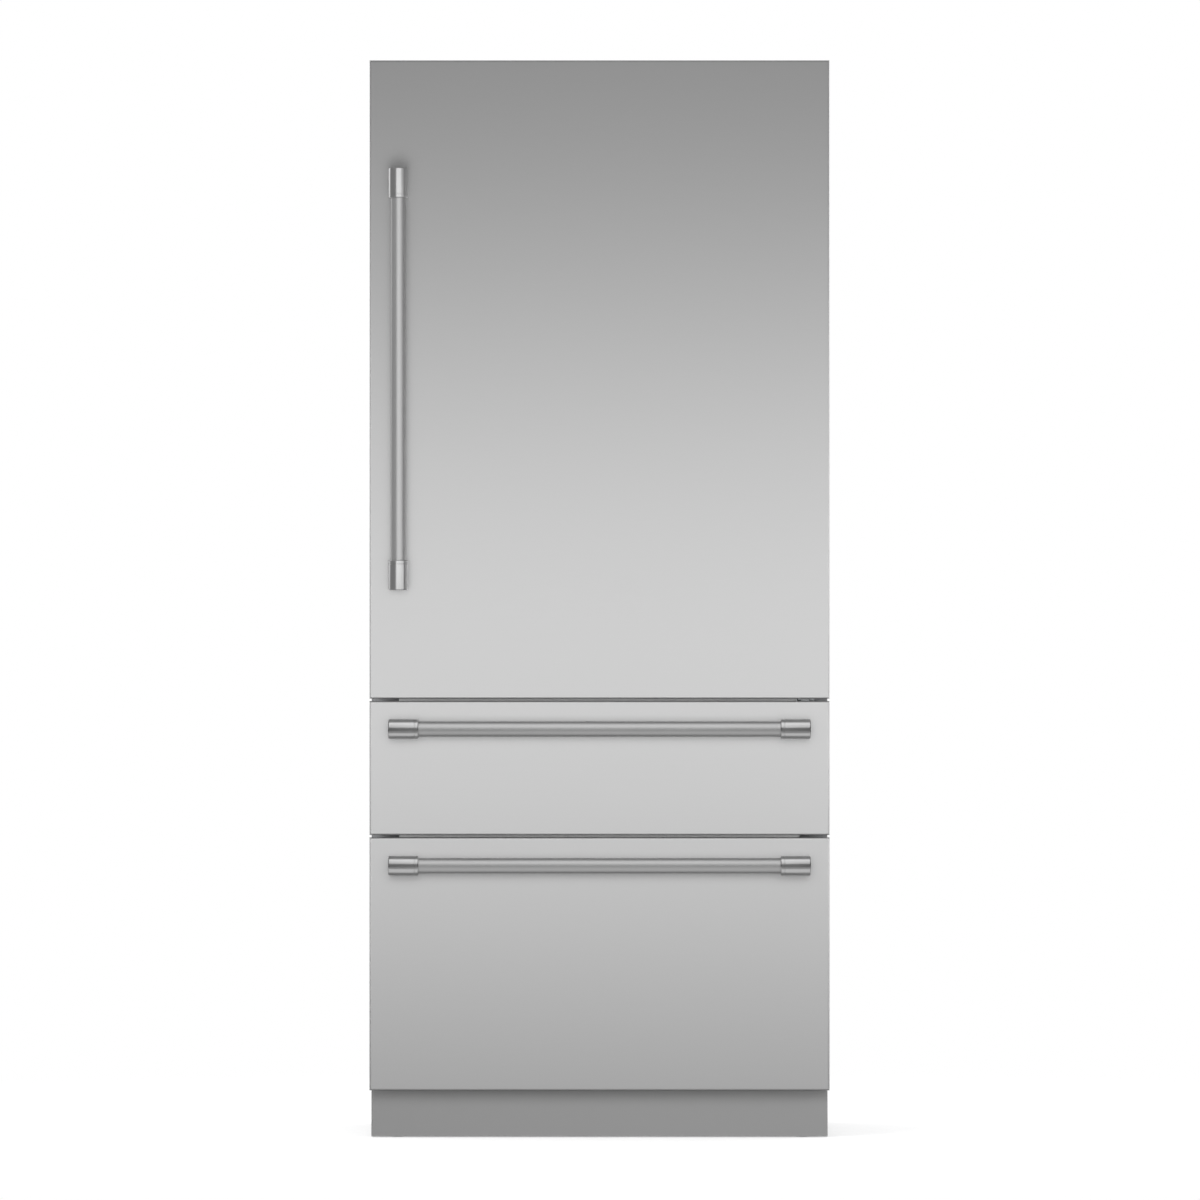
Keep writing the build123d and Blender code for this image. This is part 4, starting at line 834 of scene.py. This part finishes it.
def front_panel(low, high, hem_z):
    """Folded front, as frames one inside another: from its flat face round the bend to the hem."""
    frames = [(fold + flat_rim, fold + flat_rim, low.y)]
    for step in range(fold_steps + 1):
        turn = math.pi / 2 * step / fold_steps
        inset = fold * (1 - math.sin(turn))
        frames.append((inset, inset, low.y + fold * (1 - math.cos(turn))))
    frames += [(0, 0, high.y - back_bend), (back_bend, back_bend, high.y), (hem_x, hem_z, high.y)]
    bm = bmesh.new()
    loops = []
    for inset_x, inset_z, y in frames:
        x0, x1, z0, z1 = low.x + inset_x, high.x - inset_x, low.z + inset_z, high.z - inset_z
        ring = [bm.verts.new((x, y, z)) for x, z in ((x0, z0), (x1, z0), (x1, z1), (x0, z1))]
        loops.append([bm.edges.new(pair) for pair in zip(ring, ring[1:] + ring[:1])])
    for first, second in zip(loops, loops[1:]):
        bmesh.ops.bridge_loops(bm, edges=first + second)
    bmesh.ops.contextual_create(bm, geom=loops[0])
    bmesh.ops.recalc_face_normals(bm, faces=bm.faces)
    bmesh.ops.solidify(bm, geom=bm.faces[:], thickness=skin)
    return bm


for body, hem_z in body_hems.items():
    low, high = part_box(f"{body}_skin")
    piece(f"{body}_front", front_panel(low, high, hem_z), stainless, body, "stainless", f"{body}_skin")

# Foam fills each front between its steel and its inner pan. It is injected as in the cabinet and
# holds the two together.
for body in body_hems:
    copied(f"{body}_foam", f"{body}_insulation", foam, body, "foam")

# The inner pans are white mouldings that close the fronts behind. The door's has two upright
# ribs that carry the bins.
for node, body in (
    ("door_liner", "door"), ("upper_drawer_back", "upper_drawer"), ("lower_drawer_back", "lower_drawer"),
):
    copied(f"{node}_moulding", node, liner_white, body, "white_liner", edge=0.001, segments=3)

# The seals are soft grey vinyl: a magnet pocket that meets the cabinet, on a bellows that plugs
# into the pan. Their corners are welded at a mitre.
seal_width = 0.018
seal_outline = [
    (1.0, 0.0), (17.0, 0.0), (17.2, 1.0), (15.0, 2.1), (17.4, 3.3), (18.0, 4.2), (18.0, 8.2), (17.5, 8.7),
    (0.5, 8.7), (0.0, 8.2), (0.0, 4.2), (0.6, 3.3), (3.0, 2.1), (0.8, 1.0),
]


def seal(low, high):
    """Seal strip swept round a frame, with mitred corners."""
    bm = bmesh.new()
    rings = []
    for side_x, side_z in ((-1, -1), (1, -1), (1, 1), (-1, 1)):
        ring = []
        for across, deep in seal_outline:
            inset = seal_width - across / 1000
            x = (high.x - inset) if side_x > 0 else (low.x + inset)
            z = (high.z - inset) if side_z > 0 else (low.z + inset)
            ring.append(bm.verts.new((x, low.y + deep / 1000, z)))
        rings.append([bm.edges.new(pair) for pair in zip(ring, ring[1:] + ring[:1])])
    for first, second in zip(rings, rings[1:] + rings[:1]):
        bmesh.ops.bridge_loops(bm, edges=first + second)
    bmesh.ops.recalc_face_normals(bm, faces=bm.faces)
    return bm


seal_grey = finish_of(
    "grey_vinyl", (0.42, 0.42, 0.43), 0.55, rubber_effect, tone=0.06, rough=0.08, bump=0.00008,
)
for body in body_hems:
    low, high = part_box(f"{body}_gasket")
    piece(f"{body}_seal", seal(low, high), seal_grey, body, "seal_rubber", f"{body}_gasket")

# The handles are straight steel tubes, brushed on the lathe. A polished sleeve caps each end and
# stands on a post that bolts through the front.
bar_radius = 0.015
sleeve_radius = 0.0195
sleeve_length = 0.059
groove = 0.0006
post_radius = 0.011
collar = 0.003
sleeve_grey = (0.72, 0.72, 0.72)
bar_grey = (0.60, 0.60, 0.60)
grains = {"Z": (grain_long, grain_long, grain_fine), "X": (grain_fine, grain_long, grain_long)}
handle_metals = {}
for axis_name, axis_scale in grains.items():
    bar_metal = finish_of(
        f"brushed_bar_{axis_name}", bar_grey, 0.50, brushed_effect, tone=0.02, rough=0.02,
        scale=axis_scale, tangent=axis_name, sockets=brushed_metal(0.4),
    )
    sleeve_metal = finish_of(
        f"polished_sleeve_{axis_name}", sleeve_grey, 0.34, brushed_effect, tone=0.01, rough=0.01,
        scale=axis_scale, tangent=axis_name, sockets=brushed_metal(0.92),
    )
    handle_metals[axis_name] = (bar_metal, sleeve_metal)
for body, prefix, axis_name, axis in (
    ("door", "door_handle", "Z", Vector((0, 0, 1))),
    ("upper_drawer", "upper_handle", "X", Vector((1, 0, 0))),
    ("lower_drawer", "lower_handle", "X", Vector((1, 0, 0))),
):
    bar_metal, sleeve_metal = handle_metals[axis_name]
    low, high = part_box(f"{prefix}_bar")
    middle = (low + high) / 2
    half = (high - low).dot(axis) / 2
    bar = turned([
        (0, -half), (bar_radius - 0.0005, -half), (bar_radius, -half + 0.0005), (bar_radius, half - 0.0005),
        (bar_radius - 0.0005, half), (0, half),
    ], facing(middle, axis), 96)
    piece(f"{prefix}_tube", bar, bar_metal, body, "handle_steel", f"{prefix}_bar")
    end_low, end_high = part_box(f"{prefix}_ends")
    reach = (end_high - end_low).dot(axis) / 2
    sleeve = [
        (0, 0.0003), (0.012, 0.0002), (sleeve_radius - 0.0025, 0), (sleeve_radius - 0.0012, 0.0003),
        (sleeve_radius - 0.0003, 0.0012), (sleeve_radius, 0.0025), (sleeve_radius, sleeve_length - 0.0085),
        (sleeve_radius - groove, sleeve_length - 0.008), (sleeve_radius - groove, sleeve_length - 0.0068),
        (sleeve_radius, sleeve_length - 0.0063), (sleeve_radius, sleeve_length - 0.0015),
        (sleeve_radius - 0.0015, sleeve_length), (bar_radius + 0.0002, sleeve_length),
        (bar_radius + 0.0002, sleeve_length - 0.02),
    ]
    ends = bmesh.new()
    for side in (-1, 1):
        tip = middle + axis * side * reach
        join(ends, turned(sleeve, facing(tip, axis * -side), 96))
        foot = middle + axis * side * (reach - sleeve_length / 2)
        post_end = end_high.y - foot.y
        join(ends, turned([
            (0, 0.012), (post_radius, 0.012), (post_radius, post_end - collar),
            (post_radius + collar, post_end - collar / 2), (post_radius + collar, post_end - 0.0003),
            (0, post_end - 0.0003),
        ], facing(foot, (0, 1, 0)), 48))
    piece(f"{prefix}_sleeves", ends, sleeve_metal, body, "polished_sleeve", f"{prefix}_ends", sharp=30)

# Clear bins hang between the ribs of the door. The dairy box above them is a clear case of the
# same plastic.
clear_plastic = finish_of(
    "clear_moulding", (0.97, 0.985, 0.99), 0.08, moulded_effect, tone=0.008, rough=0.02,
    sockets={"Transmission Weight": 0.82, "IOR": 1.46},
)
copied("door_bin_mouldings", "door_bins", clear_plastic, "door", "clear_plastic", edge=0.0008)
copied("dairy_case", "dairy_box", clear_plastic, "door", "clear_plastic", edge=0.0008)

# The dairy flap is a clear moulding that closes the dairy box. It lifts on two moulded pins at the
# top of the case.
copied("dairy_cover", "dairy_flap", clear_plastic, "dairy_flap", "clear_plastic", edge=0.0006)

# Each drawer runs on a pair of telescopic zinc-plated slides: members on the liner's walls, and
# middle members that move half as far.
copied("slide_rails", "slide_cabinet_members", zinc_plate, "cabinet", "slide_zinc", edge=0.0003)
for level in ("upper", "lower"):
    node = f"{level}_slide_middles"
    copied(f"{level}_slide_inners", node, zinc_plate, node, "slide_zinc", edge=0.0003)

# The runners are zinc-plated channels with arms that bolt to the drawer fronts and carry the
# bins by their rims.
for level in ("upper", "lower"):
    node = f"{level}_drawer_runners"
    copied(f"{level}_runner_steel", node, zinc_plate, f"{level}_drawer", "slide_zinc", edge=0.0003)

# The freezer bins are deep mouldings of satin white plastic. They hang in the runners by their
# rims and lift out.
for level in ("upper", "lower"):
    node = f"{level}_drawer_bin"
    copied(f"{level}_bin_tub", node, satin_white, f"{level}_drawer", "white_plastic", edge=0.001, segments=3)

# The tray is a shallow moulding of the same plastic as the bins. It lies above the lower bin and
# slides back over it.
copied("tray_tub", "lower_tray", satin_white, "lower_tray", "white_plastic", edge=0.001, segments=3)


# The studio is a white room: a round floor that fades out into the white background, and
# even light that comes a little stronger from above and from the left.
def maths(nodes, links, operation, first, second=None):
    """Value of a maths node on a socket and, if given, a second socket or a number."""
    made = nodes.new("ShaderNodeMath")
    made.operation = operation
    links.new(first, made.inputs[0])
    if isinstance(second, bpy.types.NodeSocket):
        links.new(second, made.inputs[1])
    elif second is not None:
        made.inputs[1].default_value = second
    return made.outputs["Value"]


def seen_directly(nodes, links):
    """Value of 1 for rays of the camera, of reflections and through glass, and 0 for others."""
    ray = nodes.new("ShaderNodeLightPath")
    seen = maths(nodes, links, "MAXIMUM", ray.outputs["Is Camera Ray"], ray.outputs["Is Glossy Ray"])
    return maths(nodes, links, "MAXIMUM", seen, ray.outputs["Is Transmission Ray"])


def area_lamp(name, place, target, size, power):
    """Rectangular lamp at a place, turned to a target."""
    data = bpy.data.lights.new(name, "AREA")
    data.shape = "RECTANGLE"
    data.size, data.size_y = size
    data.energy = power
    lamp = bpy.data.objects.new(name, data)
    lamp.location = place
    lamp.rotation_euler = (Vector(target) - Vector(place)).to_track_quat("-Z", "Y").to_euler()
    bpy.context.scene.collection.objects.link(lamp)
    return lamp


floor_radius = 2.6
floor_grey = 0.80
floor_glow = 0.42
fade_start = 0.3
fade_end = 0.98
room_glow = 0.72
floor_material, nodes, links = material_of("white_floor")
floor_surface = nodes["Principled BSDF"]
set_inputs(floor_surface, {
    "Base Color": (floor_grey, floor_grey, floor_grey, 1), "Roughness": 0.9, "Specular IOR Level": 0.0,
    "Emission Color": (1, 1, 1, 1),
})
glow_seen = maths(nodes, links, "MULTIPLY", seen_directly(nodes, links), floor_glow)
links.new(glow_seen, floor_surface.inputs["Emission Strength"])
floor_place = nodes.new("ShaderNodeTexCoord")
floor_distance = nodes.new("ShaderNodeVectorMath")
floor_distance.operation = "LENGTH"
links.new(floor_place.outputs["Object"], floor_distance.inputs[0])
floor_fade = set_inputs(nodes.new("ShaderNodeMapRange"), {
    "From Min": floor_radius * fade_start, "From Max": floor_radius * fade_end, "To Min": 1.0, "To Max": 0.0,
})
floor_fade.interpolation_type = "SMOOTHSTEP"
links.new(floor_distance.outputs["Value"], floor_fade.inputs["Value"])
links.new(floor_fade.outputs["Result"], floor_surface.inputs["Alpha"])
bm = bmesh.new()
bmesh.ops.create_circle(bm, cap_ends=True, radius=floor_radius, segments=96)
floor = object_of("floor", bm, floor_material)

world = bpy.data.worlds.new("white_studio")
world.use_nodes = True
nodes, links = world.node_tree.nodes, world.node_tree.links
room_light = set_inputs(nodes.new("ShaderNodeMapRange"), {"To Min": room_glow, "To Max": 1.0})
links.new(seen_directly(nodes, links), room_light.inputs["Value"])
links.new(room_light.outputs["Result"], nodes["Background"].inputs["Strength"])
nodes["Background"].inputs["Color"].default_value = (1, 1, 1, 1)
bpy.context.scene.world = world

# Two soft lamps light the paint and the plastics from above: one in front on the left, and one
# behind on the right. The steel does not mirror them.
lamp_target = (0, 0, 1.1)
lamp_size = (4.0, 4.0)
for name, place, power in (("lamp_left", (-3.4, -3.8, 3.9), 150), ("lamp_rear", (3.4, 4.2, 3.6), 110)):
    area_lamp(name, place, lamp_target, lamp_size, power).visible_glossy = False

# A ring of card stands round the room and only reflections see it. In front it carries a wide
# soft light, brightest at mid height. Its sides are dark and its rear is white above. The
# drawers' handles do not see it, because they have lamps of their own.
card_radius = 2.6
card_low = -1.6
card_high = 3.4
card_steps = 96
side_dark = 0.22
front_levels = [
    (-1.6, 0.0), (-0.59, 0.15), (-0.15, 0.353), (0.21, 0.662), (0.47, 1.105), (0.74, 1.571),
    (1.01, 1.688), (1.27, 1.45), (1.54, 0.958), (1.81, 0.418), (2.16, 0.144), (2.6, 0.276), (3.4, 0.3),
]
rear_levels = [(-1.6, 0.25), (0.0, 0.4), (1.2, 0.85), (2.2, 1.1), (3.4, 1.1)]
front_zone = [(-180, 0), (-36, 0), (-26, 1), (52, 1), (62, 0), (180, 0)]
rear_zone = [(-180, 1), (-112, 1), (-94, 0), (94, 0), (112, 1), (180, 1)]


def glow_card(name):
    """Emission material for a card, with its nodes, its links and its emission node."""
    made, nodes, links = material_of(name)
    nodes.remove(nodes["Principled BSDF"])
    glow = nodes.new("ShaderNodeEmission")
    links.new(glow.outputs["Emission"], nodes["Material Output"].inputs["Surface"])
    return made, nodes, links, glow


def ramp_of(nodes, links, value, low, high, levels):
    """Grey ramp over a range of a value."""
    span = set_inputs(nodes.new("ShaderNodeMapRange"), {"From Min": low, "From Max": high})
    links.new(value, span.inputs["Value"])
    ramp = nodes.new("ShaderNodeValToRGB")
    ramp.color_ramp.interpolation = "LINEAR"
    while len(ramp.color_ramp.elements) < len(levels):
        ramp.color_ramp.elements.new(0.5)
    for element, (at, grey) in zip(ramp.color_ramp.elements, levels):
        element.position = (at - low) / (high - low)
        element.color = (grey, grey, grey, 1)
    links.new(span.outputs["Result"], ramp.inputs["Fac"])
    return ramp.outputs["Color"]


def reflection_card(name, bm, material, receivers=None):
    """Card that is seen by reflections alone, and by those of its receivers if it has any."""
    made = object_of(name, bm, material)
    made.visible_camera = False
    made.visible_diffuse = False
    made.visible_transmission = False
    made.visible_shadow = False
    made.light_linking.receiver_collection = receivers


ring_material, nodes, links, ring_glow = glow_card("ring_card")
ring_place = nodes.new("ShaderNodeTexCoord")
ring_parts = nodes.new("ShaderNodeSeparateXYZ")
links.new(ring_place.outputs["Object"], ring_parts.inputs["Vector"])
front_light = ramp_of(nodes, links, ring_parts.outputs["Z"], card_low, card_high, front_levels)
rear_light = ramp_of(nodes, links, ring_parts.outputs["Z"], card_low, card_high, rear_levels)
to_front = maths(nodes, links, "MULTIPLY", ring_parts.outputs["Y"], -1)
azimuth = maths(nodes, links, "ARCTAN2", ring_parts.outputs["X"], to_front)
degrees = maths(nodes, links, "DEGREES", azimuth)
in_front = ramp_of(nodes, links, degrees, -180, 180, front_zone)
in_rear = ramp_of(nodes, links, degrees, -180, 180, rear_zone)
with_front = colour_mix(nodes, links, in_front, (side_dark,) * 3, front_light)
with_rear = colour_mix(nodes, links, in_rear, with_front, rear_light)
links.new(with_rear, ring_glow.inputs["Color"])
bm = bmesh.new()
ring_verts = [bm.verts.new((card_radius, 0, z)) for z in (card_low, card_high)]
ring_edge = bm.edges.new(ring_verts)
bmesh.ops.spin(
    bm, geom=ring_verts + [ring_edge], cent=(0, 0, 0), axis=(0, 0, 1), angle=2 * math.pi,
    steps=card_steps, use_merge=True,
)
objects = bpy.data.objects
door_tube = [objects["door_handle_tube"]]
door_sleeves = [objects["door_handle_sleeves"]]
drawer_tubes = [objects["upper_handle_tube"], objects["lower_handle_tube"]]
drawer_sleeves = [objects["upper_handle_sleeves"], objects["lower_handle_sleeves"]]
ring_receivers = bpy.data.collections.new("ring_receivers")
for handle_part in drawer_tubes + drawer_sleeves:
    ring_receivers.objects.link(handle_part)
for entry in ring_receivers.collection_objects:
    entry.light_linking.link_state = "EXCLUDE"
reflection_card("ring_card", bm, ring_material, ring_receivers)


# The handles, the rail behind the gaps and the edges of the fronts each have even panels of light
# of their own, linked to them alone. They stand for what those narrow parts mirror of a room.
def linked_lamp(name, pieces, place, target, size, level):
    """Even panel of light of a level, for some pieces alone."""
    lamp = area_lamp(name, place, target, size, 4 * size[0] * size[1] * level)
    receivers = bpy.data.collections.new(name)
    for lit in pieces:
        receivers.objects.link(lit)
    lamp.light_linking.receiver_collection = receivers


linked_lamp("drawer_sleeve_fill", drawer_sleeves, (0, -2.4, 1.0), (0, 0, 1.0), (6.0, 5.0), 0.24)
linked_lamp("drawer_tube_fill", drawer_tubes, (0, -2.4, 1.0), (0, 0, 1.0), (6.0, 5.0), 0.44)
linked_lamp("door_bar_front", door_tube + door_sleeves, (-0.5, -2.3, 2.6), (-0.5, 0, 2.6), (3.2, 1.8), 0.65)
linked_lamp("door_bar_left", door_tube, (-2.2, -1.2, 1.5), (-0.396, -0.33, 1.5), (2.0, 4.4), 0.18)
linked_lamp("bar_above", drawer_tubes + drawer_sleeves, (0, -1.6, 2.2), (0, -0.33, 0.7), (6.0, 2.6), 0.56)
linked_lamp("drawer_sleeve_below", drawer_sleeves, (0, -0.66, 0.05), (0, -0.66, 1.0), (6.0, 0.6), 0.3)
linked_lamp("drawer_tube_below", drawer_tubes, (0, -0.9, 0.05), (0, -0.9, 1.0), (6.0, 1.2), 0.26)
linked_lamp("rail_light", [objects["cross_rails"]], (0, -20, 1.06), (0, 0, 0.8), (2.0, 2.0), 50)
fronts = [objects[f"{body}_front"] for body in body_hems]
for side in (-1, 1):
    linked_lamp(f"edge_light_{side}", fronts, (side * 2.5, -0.3, 1.1), (0, -0.3, 1.1), (1.8, 3.0), 1.1)

# A dark floor and a dark ceiling of card close the ring below and above. Only reflections see
# them too.
below_dark = 0.287
above_dark = 0.35
card_floor = 0.003
for name, level, grey in (("floor_card", card_floor, below_dark), ("ceiling_card", card_high, above_dark)):
    flat_material, nodes, links, flat_glow = glow_card(name)
    flat_glow.inputs["Color"].default_value = (grey, grey, grey, 1)
    bm = bmesh.new()
    bmesh.ops.create_circle(
        bm, cap_ends=True, radius=card_radius, segments=card_steps, matrix=Matrix.Translation((0, 0, level)),
    )
    reflection_card(name, bm, flat_material)
bpy.context.scene.view_settings.view_transform = "Standard"
